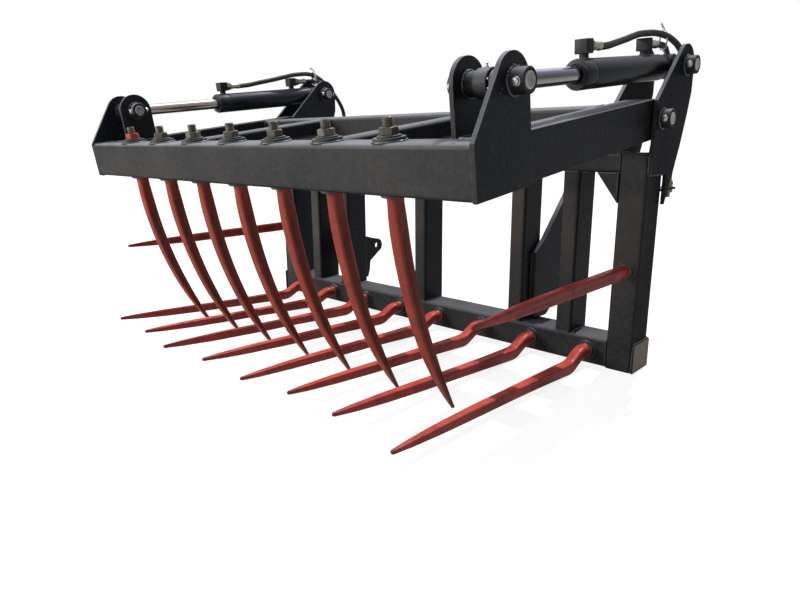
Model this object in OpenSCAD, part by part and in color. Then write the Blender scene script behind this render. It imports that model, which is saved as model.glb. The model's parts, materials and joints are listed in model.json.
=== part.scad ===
// Silage grab for a loader: a tined frame with a hydraulic top grab.
// Millimetres. The origin is the centre of the underside of the bottom beam.
// +Z is up, the tines point along -Y, and +X is the right side seen from the front.

/* [Frame] */
// Width over the two end uprights
frame_w = 1522; // [1480:1:1640]
// Height of the end uprights
frame_h = 586; // [540:1:640]
// Depth of all the frame's tubes, front to back
tube_d = 100; // [90:1:120]
// Wall of the frame's tubes
tube_wall = 6; // [4:0.5:8]
// Outer corner radius of all the square tubes
corner_r = 10; // [8.5:0.5:14]
// Height of the bottom beam
bottom_h = 80; // [74:1:100]
// Height of the top beam
top_h = 50; // [40:1:70]
// Width of each end upright
end_w = 75; // [65:1:90]
// Width of each inner post
post_w = 50; // [40:1:60]
// Middle of the frame to the middle of each outer post
outer_post_x = 552; // [540:1:575]
// Middle of the frame to the middle of each hitch post
hitch_post_x = 385; // [370:1:400]
// Width of the triangular gusset in each upper corner
gusset_w = 60; // [40:1:70]
// Height of the gusset
gusset_h = 78; // [50:1:100]
// Thickness of the gusset
gusset_t = 8; // [5:1:12]
// Thickness of the plates that close the uprights
cap_t = 6; // [4:1:8]

/* [Pivot plates] */
// Thickness of the pivot plates
plate_t = 10; // [8:1:14]
// Plates' front upper corner: height over the frame
plate_front_up = 127; // [114:1:139]
// Outer plate's lower edge: depth under the frame's top
plate_bottom_down = 54; // [46:1:86]
// Where the plates' back edge starts to curve in: height over the frame
plate_knee_up = 156; // [144:1:169]
// Plates' tail behind the frame: depth under the frame's top
plate_tail_down = 134; // [106:1:156]
// Radius of the knuckle round the cylinder's base pin
knuckle_r = 52; // [50:1:56]
// Cylinder base pin: distance behind the frame's middle
base_pin_y = 120; // [115:1:125]
// Cylinder base pin: height over the frame
base_pin_up = 219; // [214:1:224]
// Arm pivot: distance ahead of the frame's middle
arm_pin_y = 12.5; // [10:0.5:20]
// Arm pivot: height over the frame
arm_pin_up = 84; // [79:1:94]

/* [Pins] */
// Diameter of the hinge pins
pin_d = 34; // [30:1:36]
// Outer diameter of the collars that hold the pins
collar_d = 46; // [44:1:50]
// How far a collar stands off its plate
collar_l = 26; // [22:1:32]
// Thread size of the pins' retaining bolts
bolt_d = 8; // [6:1:10]
// Across-flats size of the retaining bolts' heads
bolt_af = 13; // [13:1:16]

/* [Grab] */
// Tilt of the closed grab, front downwards, in degrees
grab_tilt = 7.5; // [6:0.5:9]
// Width of each arm
arm_w = 85; // [80:1:86]
// Height of each arm
arm_h = 96; // [90:1:98]
// Gap between an arm and its outer pivot plate
outer_gap = 5; // [4:0.5:8]
// Gap between an arm and its inner pivot plate
inner_gap = 2; // [1.5:0.5:4]
// Outer diameter of the arm's pivot tube
pivot_tube_d = 50; // [46:1:60]
// Arm pivot to the middle of the front beam
beam_reach = 743; // [730:1:760]
// Depth of the front beam
beam_d = 75; // [72:1:85]
// Height of the front beam
beam_h = 100; // [96:1:110]
// Wall of the grab's tubes
grab_wall = 6; // [4:0.5:8]
// Thickness of the ears that hold the rod pin
ear_t = 10; // [8:1:12]
// Radius of the ears round the rod pin
ear_r = 50; // [46:1:52]
// Rod pin: height over the arm's middle line
rod_pin_w = 138; // [130:1:142]
// Arm pivot to the back of the cross tube
cross_u = 105; // [102:1:120]
// Depth of the cross tube
cross_d = 60; // [50:1:70]
// Height of the cross tube
cross_h = 80; // [60:1:90]
// Middle of the grab to the middle of each brace
brace_x = 315; // [250:1:380]
// Width and height of each brace
brace_w = 50; // [40:1:60]

/* [Tines] */
// End upright to the middle of the nearest lower tine
tine_margin = 56; // [46:1:66]
// Number of tines in the bottom beam
lower_tines = 8; // [8]
// Number of tines in the grab
upper_tines = 7; // [7]
// Height of the lower tines' roots
lower_root_z = 42; // [40:1:46]
// Reach of the lower tines ahead of the frame
lower_reach = 792; // [700:1:820]
// Height of the lower tines' tips
lower_tip_z = 50; // [44:1:56]
// Height of the lower tines behind the straight blade
lower_crank_z = 16.5; // [16.5:0.5:19]
// Angle at which the lower tine's crank drops
crank_angle = 24; // [20:1:28]
// Bend radius of the crank
crank_r = 70; // [60:1:80]
// Straight piece between the beam and the crank
crank_lead = 28; // [24:1:34]
// Thickness of a lower tine at its root
tine_root_d = 36; // [32:1:37]
// Thickness of a lower tine at its crank
tine_crank_d = 32; // [28:1:32]
// Thickness of an upper tine
upper_d = 32; // [28:1:34]
// Bend radius of an upper tine
upper_r = 1152; // [1080:1:1250]
// Angle through which an upper tine bends
upper_sweep = 26.8; // [25:0.1:27]
// Reach of the side tines ahead of the frame
side_reach = 682; // [600:1:720]
// Height of the side tines
side_z = 280; // [240:1:320]
// Thickness of a side tine at its root
side_d = 34; // [30:1:36]
// Outer diameter of the bushes that hold the tines
bush_d = 50; // [48:1:54]
// How far a bush stands out of its beam
bush_out = 7; // [5:1:12]
// Thread size of the tines' nuts
thread_d = 22; // [20:1:24]
// Across-flats size of the tines' nuts
nut_af = 34; // [30:1:36]
// Height of the tines' nuts
nut_h = 18; // [16:1:20]
// Thread left standing behind a nut
stud_out = 16; // [10:1:20]
// Outer diameter of the washers
washer_d = 48; // [44:1:52]
// Thickness of the washers
washer_t = 4; // [3:1:6]

/* [Cylinders] */
// Outer side of the arm to the middle of the cylinder
cyl_inset = 46; // [44:1:48]
// Outer diameter of the barrel
barrel_d = 65; // [60:1:68]
// Wall of the barrel
barrel_wall = 7.5; // [6:0.5:9]
// Diameter of the rod
rod_d = 30; // [28:1:36]
// Base pin to the front face of the gland
barrel_l = 479; // [470:1:490]
// Base pin to the barrel's rear end
barrel_tail = 48; // [44:1:52]
// Thickness of the barrel's base plug
base_plug = 22; // [18:1:26]
// Length of the gland that shows
gland_l = 45; // [40:1:50]
// Length of the gland inside the barrel
gland_in = 28; // [20:1:34]
// Thickness of the piston
piston_t = 30; // [24:1:34]
// Diameter of the eye on the barrel
base_eye_d = 62; // [58:1:64]
// Length of the eye on the barrel
base_eye_l = 56; // [50:1:60]
// Diameter of the eye on the rod
rod_eye_d = 54; // [54:1:56]
// Length of the eye on the rod
rod_eye_l = 30; // [26:1:32]
// Diameter of the rod pin inside the rod's eye
rod_core_d = 14; // [12:1:14]
// Play of the rod's eye round that core
eye_play = 17; // [17:0.1:17.4]
// Base pin to the middle of the front port
front_port = 445; // [443:1:446]
// Base pin to the middle of the rear port
rear_port = 130; // [128:1:131]
// Width of a port block
port_w = 30; // [26:1:32]
// Height of the neck under a port block
port_neck_h = 8; // [7:0.5:8]
// Diameter of that neck
port_neck_d = 20; // [16:1:22]

/* [Hitch and hoses] */
// Thickness of the hitch brackets
hitch_t = 15; // [12:1:20]
// Lower hitch hole: distance behind the frame's middle
lug_y = 157; // [150:1:165]
// Lower hitch hole: height
lug_z = 203; // [195:1:215]
// Radius of the lug round the lower hitch hole
lug_r = 27; // [24:1:30]
// Diameter of the lower hitch hole
lug_hole_d = 25; // [20:1:28]
// Hook seat: distance behind the frame's middle
hook_y = 260; // [250:1:270]
// Hook seat: height
hook_z = 535; // [525:1:545]
// Radius of the hook's outer edge
hook_r = 46; // [44:1:50]
// Diameter of the bar that the hooks sit on
hook_bar_d = 50; // [40:1:52]
// Diameter of the hoses
hose_d = 16; // [15:0.5:16]
// Diameter of the crimped ferrules on the hoses
ferrule_d = 21; // [20:1:24]
// Length of the ferrules
ferrule_l = 40; // [40]
// Across-flats size of the hose nuts
hose_nut_af = 24; // [22:1:27]
// Length of the hose nuts
hose_nut_l = 17; // [17]
// Height of the plate that carries the hose couplings
hose_plate_z = 488; // [488]
// Thickness of that plate
hose_plate_t = 6; // [4:1:8]

/* [Clearances] */
// Radial gap of a hinge pin in its bore
pin_fit = 0.05; // [0.02:0.01:0.1]
// Gap between two pieces that are fastened together
fixed_fit = 0.1; // [0.05:0.01:0.2]
// Radial gap of a loose fit
loose_fit = 0.3; // [0.3:0.05:0.5]
// Side gap at a hinge
side_gap = 1; // [0.5:0.1:1.4]

/* [Hidden] */
$fn = 48;
// How far a cutting shape runs past the face that it cuts
overrun = 2;

charcoal = [0.2, 0.2, 0.2];
tine_red = [0.5, 0.2, 0.17];
zinc = [0.62, 0.52, 0.3];
steel = [0.7, 0.7, 0.7];
chrome = [0.85, 0.85, 0.87];
hose_black = [0.08, 0.08, 0.08];

// Faces of the frame
front_y = -tube_d / 2;
back_y = tube_d / 2;
half_w = frame_w / 2;
inner_half_w = half_w - end_w;
top_beam_z = frame_h - top_h;

// Heights of the pivot plates' corners and pins
plate_front_z = frame_h + plate_front_up;
plate_bottom_z = frame_h - plate_bottom_down;
plate_knee_z = frame_h + plate_knee_up;
plate_tail_z = frame_h - plate_tail_down;
base_pin_z = frame_h + base_pin_up;
arm_pin_z = frame_h + arm_pin_up;

// Sides of the arm, its pivot plates and its ears, on the right
arm_out = half_w - outer_gap;
arm_in = arm_out - arm_w;
inner_plate_x = arm_in - inner_gap - plate_t;
cyl_x = arm_out - cyl_inset;

// Grab: back and front of the front beam, and the rod pin's place along the arm
beam_back = beam_reach - beam_d / 2;
beam_front = beam_reach + beam_d / 2;
rod_pin_u = beam_back - ear_r;

// Cylinder: the two pins at rest, as [y, z], and the line between them
base_pin = [base_pin_y, base_pin_z];
arm_pin = [-arm_pin_y, arm_pin_z];
rod_pin = [
    arm_pin[0] - rod_pin_u * cos(grab_tilt) - rod_pin_w * sin(grab_tilt),
    arm_pin[1] - rod_pin_u * sin(grab_tilt) + rod_pin_w * cos(grab_tilt)
];
cyl_line = base_pin - rod_pin;
cyl_len = norm(cyl_line);
cyl_angle = atan2(cyl_line[1], cyl_line[0]);

// Share of the pivot plate's tail, along and up, at each of its corners
tail_shares = [[0.85, 0.79], [0.6, 0.51], [0.3, 0.24]];
// Share of the crank's thickness that is left along the straight blade
blade_shares = [[0.2, 0.88], [0.35, 0.81], [0.62, 0.75], [0.78, 0.66], [0.92, 0.48], [1, 0.28]];
// Share of the thickness that is left along an upper tine
upper_shares = [[0.33, 1], [0.66, 0.98], [0.8, 0.8], [0.92, 0.52], [1, 0.28]];
// Share of the thickness that is left along a side tine
side_shares = [[0.3, 0.9], [0.6, 0.84], [0.8, 0.66], [0.93, 0.42], [1, 0.24]];
// Share of a tine's thickness where its forged end enters the round root
neck_share = 0.8;
// Length of the round root that shows, and the overlap of the forged part with it
root_out = 8;
root_lap = 2;
flare_l = 6;
// Taper of a tine's shank inside its bush
shank_taper = 4;
// Flanges at the two ends of a grab tine's bush
top_flange_d = 66;
top_flange_t = 8;
low_flange_d = 56;
low_flange_t = 5;

// Routes of the hoses on the right, as [x, y, z], from the port to the coupling
front_hose_route = [
    [710, -256, 821], [710, -216, 827], [708, -176, 836], [704, -136, 845], [700, -96, 854],
    [697, -56, 864], [696, -18, 873], [698, 22, 879], [704, 62, 883], [713, 102, 881],
    [722, 140, 871], [729, 174, 853], [732, 203, 826], [733, 223, 792], [733, 233, 754],
    [732, 235, 715], [731, 228, 677], [730, 214, 641], [730, 197, 607], [730, 183, 573],
    [730, 180, 546]
];
rear_hose_route = [
    [710, 57, 854], [709, 88, 857], [706, 120, 857], [702, 151, 847], [699, 176, 825],
    [696, 189, 794], [695, 192, 759], [695, 187, 722], [695, 176, 686], [695, 160, 650],
    [695, 143, 616], [695, 132, 580], [695, 130, 546]
];
hose_sides = 10;

// Unit outline of a forged tine: a square with well rounded corners
tine_outline = [for (a = [15 : 30 : 345]) [cos(a), sin(a)] / pow(pow(cos(a), 4) + pow(sin(a), 4), 1 / 4)];
// Unit outline of a hose
hose_outline = [for (k = [0 : hose_sides - 1]) [cos(k * 360 / hose_sides), sin(k * 360 / hose_sides)]];

// Point where the line from p touches a circle, on the side that turns left
function tangent_point(p, c, r) =
    let (v = c - p, d = norm(v), a = atan2(v[1], v[0]) + asin(r / d))
    p + sqrt(d * d - r * r) * [cos(a), sin(a)];

// One ring of a swept shape: centre p, direction t, half size s
function ring(p, t, s, outline) =
    let (
        dir = t / norm(t),
        side = [1, 0, 0] - dir[0] * dir,
        u = side / norm(side),
        v = cross(dir, u)
    )
    [for (q = outline) p + s * (q[0] * u + q[1] * v)];

// Closed shape through a list of rings
module skin(rings) {
    n = len(rings[0]);
    m = len(rings);
    points = [for (r = rings) for (p = r) p];
    sides = [
        for (i = [0 : m - 2]) for (k = [0 : n - 1])
        let (a = i * n + k, b = i * n + (k + 1) % n)
        each [[a, a + n, b + n], [a, b + n, b]]
    ];
    start = [for (k = [1 : n - 2]) [0, k, k + 1]];
    end = [for (k = [1 : n - 2]) (m - 1) * n * [1, 1, 1] + [0, k + 1, k]];
    polyhedron(points, concat(sides, start, end), convexity = 4);
}

// Hose along a route; the ring at each point is square to the line between its neighbours
module hose(route) {
    last = len(route) - 1;
    skin([
        for (i = [0 : last])
        ring(route[i], route[min(i + 1, last)] - route[max(i - 1, 0)], hose_d / 2, hose_outline)
    ]);
}

module rounded_rect(w, h, r) {
    square([w - 2 * r, h], center = true);
    square([w, h - 2 * r], center = true);
    for (x = [-1, 1], y = [-1, 1])
        translate([x * (w / 2 - r), y * (h / 2 - r)]) circle(r);
}

module tube_section(w, h, wall) {
    difference() {
        rounded_rect(w, h, corner_r);
        rounded_rect(w - 2 * wall, h - 2 * wall, corner_r - wall / 2);
    }
}

// Turns an outline drawn as [y, z] and extrudes it along +X
module along_x(length, center = false) {
    rotate([90, 0, 90]) linear_extrude(length, center = center) children();
}

// Round bar or hole along X, from x0 to x1, at [y, z]
module bar_x(x0, x1, at, d) {
    translate([x0, at[0], at[1]]) rotate([0, 90, 0]) cylinder(h = x1 - x0, d = d);
}

// Round bar or hole along +Y from y0
module bar_y(x, y0, z, length, d) {
    translate([x, y0, z]) rotate([-90, 0, 0]) cylinder(h = length, d = d);
}

// Places a piece that is drawn on the right on the right or, mirrored, on the left
module on_side(side) {
    if (side > 0) children();
    else mirror([1, 0, 0]) children();
}

module both_sides() {
    for (side = [-1, 1]) on_side(side) children();
}

// Places pieces drawn in the grab's own frame: pivot at the origin, front along -Y
module on_grab() {
    translate([0, arm_pin[0], arm_pin[1]]) rotate([grab_tilt, 0, 0]) children();
}

// Places pieces drawn in a cylinder's own frame: base pin at the origin, rod along -Y
module on_cylinder(side) {
    translate([side * cyl_x, base_pin[0], base_pin[1]]) rotate([cyl_angle, 0, 0]) children();
}

// Spacing that fills the bottom beam with the lower tines; the grab's tines stand between them
tine_spacing = 2 * (inner_half_w - tine_margin) / (lower_tines - 1);
function lower_x(i) = (i - (lower_tines + 1) / 2) * tine_spacing;
function upper_x(i) = (i - (upper_tines + 1) / 2) * tine_spacing;
side_x = half_w - end_w / 2;

// Frame tubes

module bottom_beam() color(charcoal) difference() {
    translate([0, 0, bottom_h / 2])
        along_x(2 * inner_half_w, true) tube_section(tube_d, bottom_h, tube_wall);
    for (i = [1 : lower_tines])
        bar_y(lower_x(i), front_y - overrun, lower_root_z, tube_d + 2 * overrun,
              bush_d + 2 * fixed_fit);
}

module top_beam() color(charcoal)
    translate([0, 0, top_beam_z + top_h / 2])
        along_x(2 * inner_half_w, true) tube_section(tube_d, top_h, tube_wall);

module end_upright(side) color(charcoal) on_side(side) difference() {
    translate([side_x, 0, 0])
        linear_extrude(frame_h - cap_t) tube_section(end_w, tube_d, tube_wall);
    bar_y(side_x, front_y - overrun, side_z, tube_d + 2 * overrun, bush_d + 2 * fixed_fit);
}

module frame_posts() color(charcoal)
    for (x = [-outer_post_x, -hitch_post_x, 0, hitch_post_x, outer_post_x])
        translate([x, 0, bottom_h])
            linear_extrude(top_beam_z - bottom_h) tube_section(post_w, tube_d, tube_wall);

module corner_gussets() color(charcoal) both_sides()
    translate([inner_half_w, front_y + gusset_t, top_beam_z]) rotate([90, 0, 0])
        linear_extrude(gusset_t) polygon([[0, 0], [-gusset_w, 0], [0, -gusset_h]]);

module upright_caps() color(charcoal) both_sides() {
    translate([side_x, 0, frame_h - cap_t])
        linear_extrude(cap_t) rounded_rect(end_w, tube_d, corner_r);
    translate([half_w, front_y, 0]) cube([cap_t, tube_d, bottom_h]);
}

// Pivot plates

module pivot_plate_outline(bottom_z) {
    corner = [front_y, plate_front_z];
    tail_run = base_pin_y + knuckle_r - back_y;
    tail_rise = plate_knee_z - plate_tail_z;
    difference() {
        union() {
            translate(base_pin) circle(knuckle_r);
            polygon(concat(
                [
                    [front_y, bottom_z], corner, tangent_point(corner, base_pin, knuckle_r),
                    base_pin, base_pin + [knuckle_r, 0], [base_pin_y + knuckle_r, plate_knee_z]
                ],
                [for (s = tail_shares) [back_y + s[0] * tail_run, plate_tail_z + s[1] * tail_rise]],
                [[back_y, plate_tail_z], [back_y, bottom_z]]
            ));
        }
        translate(base_pin) circle(pin_d / 2 + fixed_fit);
        translate(arm_pin) circle(pin_d / 2 + fixed_fit);
    }
}

module pivot_plates(side) color(charcoal) on_side(side) {
    translate([half_w, 0, 0]) along_x(plate_t) pivot_plate_outline(plate_bottom_z);
    translate([inner_plate_x, 0, 0]) along_x(plate_t) pivot_plate_outline(frame_h);
}

// Pins, collars and their bolts, for a pin that runs through plates from x_in to x_out

module collar(x, at) {
    difference() {
        bar_x(x, x + collar_l, at, collar_d);
        bar_x(x - overrun, x + collar_l + overrun, at, pin_d + 2 * fixed_fit);
        bolt_hole(x + collar_l / 2, at);
    }
}

module bolt_hole(x, at) {
    bar_y(x, at[0] - collar_d, at[1], 2 * collar_d, bolt_d + 2 * fixed_fit);
}

module collars(x_in, x_out, at) {
    collar(x_in - collar_l, at);
    collar(x_out, at);
}

module pin(x_in, x_out, at) {
    difference() {
        bar_x(x_in - collar_l, x_out + collar_l, at, pin_d);
        bolt_hole(x_in - collar_l / 2, at);
        bolt_hole(x_out + collar_l / 2, at);
    }
}

module retaining_bolt(x, at) {
    head_h = 0.65 * bolt_d;
    grip = collar_d / 2 + fixed_fit;
    bar_y(x, at[0] - grip, at[1], 2 * grip + 2 * head_h, bolt_d);
    translate([x, at[0] - grip, at[1]]) rotate([90, 0, 0])
        cylinder(h = head_h, d = bolt_af / cos(30), $fn = 6);
    translate([x, at[0] + grip, at[1]]) rotate([-90, 0, 0]) difference() {
        cylinder(h = 1.2 * head_h, d = bolt_af / cos(30), $fn = 6);
        translate([0, 0, -overrun])
            cylinder(h = 1.2 * head_h + 2 * overrun, d = bolt_d + 2 * fixed_fit);
    }
}

module retaining_bolts(x_in, x_out, at) {
    retaining_bolt(x_in - collar_l / 2, at);
    retaining_bolt(x_out + collar_l / 2, at);
}

module frame_pin_collars() color(charcoal) both_sides() {
    collars(inner_plate_x, half_w + plate_t, base_pin);
    collars(inner_plate_x, half_w + plate_t, arm_pin);
}

module arm_pivot_pins() color(steel) both_sides()
    pin(inner_plate_x, half_w + plate_t, arm_pin);

module base_pins() color(steel) both_sides()
    pin(inner_plate_x, half_w + plate_t, base_pin);

module frame_pin_bolts() color(steel) both_sides() {
    retaining_bolts(inner_plate_x, half_w + plate_t, base_pin);
    retaining_bolts(inner_plate_x, half_w + plate_t, arm_pin);
}

// Hitch brackets, drawn as [y, z] plates on the outer side of the hitch posts

hitch_x = hitch_post_x + post_w / 2;
hook_in = hook_bar_d / 2 + loose_fit;

// Seat and lip of the hook; the loader's bar comes up into it from below
module hook_outline() {
    intersection() {
        translate([hook_y, hook_z]) difference() {
            circle(hook_r);
            circle(hook_in);
        }
        translate([hook_y - 2 * hook_r, hook_z]) square([4 * hook_r, 2 * hook_r]);
    }
    translate([hook_y + hook_in, hook_z - hook_in]) square([hook_r - hook_in, hook_in]);
}

module hitch_plate(outline_x) {
    translate([outline_x, 0, 0]) along_x(hitch_t) children();
}

// Lower lug with the locking hole, from the bottom beam up the hitch post
module lug_outline() {
    foot_y = 1.5 * tube_d / 2 + lug_r;
    difference() {
        union() {
            translate([lug_y, lug_z]) circle(lug_r);
            polygon([
                [0, bottom_h], [foot_y, bottom_h], [foot_y + lug_r / 3, bottom_h + lug_r],
                [foot_y + lug_r / 2, lug_z - 2.2 * lug_r], [lug_y + lug_r / 3, lug_z - 0.94 * lug_r],
                [lug_y, lug_z], [lug_y - lug_r / 8, lug_z + 0.99 * lug_r],
                [back_y + lug_r, lug_z + 1.8 * lug_r], [back_y, lug_z + 2.4 * lug_r],
                [0, lug_z + 2.4 * lug_r]
            ]);
        }
        translate([lug_y, lug_z]) circle(d = lug_hole_d);
    }
}

// Upper arm of the left bracket, from the hitch post back to the hook
module upper_arm_outline() {
    neck = hook_y - hook_r;
    polygon([
        [0, top_beam_z - hook_r], [0, top_beam_z - 3 * hook_r], [back_y, top_beam_z - 3 * hook_r],
        [neck + hook_r - hook_in, hook_z - hook_in], [neck + hook_r - hook_in, hook_z],
        [neck, hook_z], [neck - hook_r, top_beam_z - hook_r]
    ]);
}

// Long arm of the right bracket: it leaves the post low down and rises behind it to the hook
module long_arm_outline() {
    neck = hook_y - hook_r;
    reach = lug_y + 1.35 * lug_r;
    difference() {
        polygon([
            [0, bottom_h], [back_y + lug_r, bottom_h], [reach, lug_z - 1.4 * lug_r],
            [reach + lug_r, lug_z], [neck + hook_r, lug_z + 4 * hook_r],
            [neck + hook_r - hook_in, hook_z - hook_in], [neck + hook_r - hook_in, hook_z],
            [neck, hook_z], [neck - hook_r / 2, hook_z - 1.3 * hook_r],
            [back_y, lug_z + 4.5 * lug_r], [0, lug_z + 3.2 * lug_r]
        ]);
        translate([lug_y, lug_z]) circle(d = lug_hole_d);
    }
}

module hitch_bracket_left() color(charcoal) on_side(-1) {
    hitch_plate(hitch_x) lug_outline();
    hitch_plate(hitch_x) {
        hook_outline();
        upper_arm_outline();
    }
}

module hitch_bracket_right() color(charcoal) hitch_plate(hitch_x) {
    hook_outline();
    long_arm_outline();
}

// Tines of the frame: bushes, shanks, nuts

// Bush along +Y from its front face, with a conical bore
module tine_bush(root_d, length) {
    rotate([-90, 0, 0]) difference() {
        cylinder(h = length, d = bush_d);
        cylinder(h = length, d1 = root_d + 2 * loose_fit, d2 = root_d - shank_taper + 2 * loose_fit);
    }
}

// Shank along +Y: the round root outside, the cone in the bush and the thread behind it
module tine_shank(root_d, length) {
    rotate([-90, 0, 0]) {
        translate([0, 0, -root_out]) cylinder(h = root_out, d = root_d);
        cylinder(h = length, d1 = root_d, d2 = root_d - shank_taper);
        cylinder(h = length + washer_t + nut_h + stud_out, d = thread_d);
    }
}

// Washer and nut along +Y
module tine_nut() {
    rotate([-90, 0, 0]) {
        difference() {
            cylinder(h = washer_t, d = washer_d);
            translate([0, 0, -overrun])
                cylinder(h = washer_t + 2 * overrun, d = thread_d + 2 * loose_fit);
        }
        translate([0, 0, washer_t]) difference() {
            cylinder(h = nut_h, d = nut_af / cos(30), $fn = 6);
            translate([0, 0, -overrun])
                cylinder(h = nut_h + 2 * overrun, d = thread_d + 2 * fixed_fit);
        }
    }
}

frame_bush_l = tube_d + bush_out;
bush_face = front_y - bush_out;

module frame_tine_bushes() color(charcoal) {
    for (i = [1 : lower_tines])
        translate([lower_x(i), bush_face, lower_root_z]) tine_bush(tine_root_d, frame_bush_l);
    both_sides() translate([side_x, bush_face, side_z]) tine_bush(side_d, frame_bush_l);
}

module frame_tine_nuts() color(zinc) {
    for (i = [1 : lower_tines]) translate([lower_x(i), back_y, lower_root_z]) tine_nut();
    both_sides() translate([side_x, back_y, side_z]) tine_nut();
}

// A forged tine in the plane x = 0 through stations [y, z, heading, thickness],
// where a heading of 0 points along -Y and a positive one rises
module forged(stations) {
    skin([
        for (s = stations)
        ring([0, s[0], s[1]], [0, -cos(s[2]), sin(s[2])], s[3] / 2, tine_outline)
    ]);
}

// Lower tine: the crank drops, turns back through more than its drop, and runs up to the tip
crank_drop = lower_root_z - lower_crank_z;
crank_start = front_y - crank_lead;
blade_rise = atan2(lower_tip_z - lower_crank_z, lower_reach - crank_lead - 2 * crank_r);
crank_fall = crank_r * (1 + cos(blade_rise) - 2 * cos(crank_angle));
crank_straight = (crank_drop - crank_fall) / sin(crank_angle);
crank_mid = crank_start - crank_r * sin(crank_angle);
crank_low = crank_mid - crank_straight * cos(crank_angle);
blade_start = crank_low - crank_r * (sin(crank_angle) + sin(blade_rise));
tip_y = front_y - lower_reach;
arc_steps = 4;

module lower_tine(i) color(tine_red) translate([lower_x(i), 0, 0]) {
    first_arc = [
        for (k = [0 : arc_steps])
        let (a = crank_angle * k / arc_steps)
        [
            crank_start - crank_r * sin(a), lower_root_z - crank_r * (1 - cos(a)), -a,
            tine_root_d - (tine_root_d - tine_crank_d) * k / arc_steps
        ]
    ];
    second_arc = [
        for (k = [0 : arc_steps])
        let (a = -crank_angle + (crank_angle + blade_rise) * k / arc_steps)
        [
            crank_low - crank_r * (sin(crank_angle) + sin(a)),
            lower_crank_z + crank_r * (cos(blade_rise) - cos(a)), a, tine_crank_d
        ]
    ];
    blade = [
        for (s = blade_shares)
        [
            blade_start + s[0] * (tip_y - blade_start),
            lower_crank_z + s[0] * (lower_tip_z - lower_crank_z), blade_rise, tine_crank_d * s[1]
        ]
    ];
    root = [
        [bush_face - root_out + root_lap, lower_root_z, 0, tine_root_d * neck_share],
        [bush_face - root_out - flare_l, lower_root_z, 0, tine_root_d]
    ];
    forged(concat(root, first_arc, second_arc, blade));
    translate([0, bush_face, lower_root_z]) tine_shank(tine_root_d, frame_bush_l);
}

module side_tine(side) color(tine_red) on_side(side) translate([side_x, 0, side_z]) {
    root_y = bush_face - root_out - flare_l;
    forged(concat(
        [[bush_face - root_out + root_lap, 0, 0, side_d * neck_share], [root_y, 0, 0, side_d]],
        [for (s = side_shares) [root_y + s[0] * (front_y - side_reach - root_y), 0, 0, side_d * s[1]]]
    ));
    translate([0, bush_face, 0]) tine_shank(side_d, frame_bush_l);
}

// Hoses and the plates that carry their couplings

coupling_at = [
    front_hose_route[len(front_hose_route) - 1], rear_hose_route[len(rear_hose_route) - 1]
];
hose_plate_w = cyl_inset + outer_gap;
hose_plate_d = max(coupling_at[0][1], coupling_at[1][1]) + hose_nut_af - back_y;

module hose_plates() color(charcoal) both_sides() difference() {
    translate([inner_half_w, back_y, hose_plate_z - hose_plate_t])
        cube([hose_plate_w + cap_t, hose_plate_d, hose_plate_t]);
    for (at = coupling_at) translate([at[0], at[1], hose_plate_z - hose_plate_t - overrun])
        cylinder(h = hose_plate_t + 2 * overrun, d = hose_d + 2 * fixed_fit);
}

// Coupling under a hose's end: crimped ferrule, nut, the thread through the plate, and a locknut
module hose_coupling(at) {
    nut_z = hose_plate_z + hose_nut_l;
    translate([at[0], at[1], nut_z]) cylinder(h = ferrule_l, d = ferrule_d);
    translate([at[0], at[1], hose_plate_z])
        cylinder(h = hose_nut_l, d = hose_nut_af / cos(30), $fn = 6);
    translate([at[0], at[1], hose_plate_z - hose_plate_t - ferrule_l])
        cylinder(h = hose_plate_t + ferrule_l + overrun, d = hose_d);
    translate([at[0], at[1], hose_plate_z - hose_plate_t - hose_nut_l / 2]) difference() {
        cylinder(h = hose_nut_l / 2, d = hose_nut_af / cos(30), $fn = 6);
        translate([0, 0, -overrun])
            cylinder(h = hose_nut_l + 2 * overrun, d = hose_d + 2 * fixed_fit);
    }
}

module hose_couplings() color(zinc) both_sides() for (at = coupling_at) hose_coupling(at);

module front_hose(side) color(hose_black) on_side(side) hose(front_hose_route);
module rear_hose(side) color(hose_black) on_side(side) hose(rear_hose_route);

// Grab, drawn with the arm pivot at the origin and the front along -Y

module front_beam() color(charcoal) on_grab() difference() {
    translate([0, -beam_reach, 0])
        along_x(2 * arm_out, true) tube_section(beam_d, beam_h, grab_wall);
    for (i = [1 : upper_tines]) translate([upper_x(i), -beam_reach, -beam_h / 2 - overrun])
        cylinder(h = beam_h + 2 * overrun, d = bush_d + 2 * fixed_fit);
}

module cross_tube() color(charcoal) on_grab()
    translate([0, -cross_u - cross_d / 2, arm_h / 2 - cross_h / 2])
        along_x(2 * arm_in, true) tube_section(cross_d, cross_h, grab_wall);

brace_back = cross_u + cross_d;

module braces() color(charcoal) on_grab() both_sides()
    translate([brace_x, -brace_back, arm_h / 2 - brace_w / 2]) rotate([90, 0, 0])
        linear_extrude(beam_back - brace_back) tube_section(brace_w, brace_w, grab_wall);

module arm_outline(wall) {
    r = arm_h / 2 - wall;
    circle(r);
    translate([-beam_back + wall, -r]) square([beam_back - wall, 2 * r]);
}

module arm(side) color(charcoal) on_side(side) on_grab() difference() {
    union() {
        difference() {
            translate([arm_in, 0, 0]) along_x(arm_w) arm_outline(0);
            translate([arm_in + grab_wall, 0, 0])
                along_x(arm_w - 2 * grab_wall) arm_outline(grab_wall);
        }
        bar_x(arm_in - inner_gap + side_gap, half_w - side_gap, [0, 0], pivot_tube_d);
    }
    bar_x(arm_in - inner_gap, half_w, [0, 0], pin_d + 2 * pin_fit);
}

rod_at = [-rod_pin_u, rod_pin_w];

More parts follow.
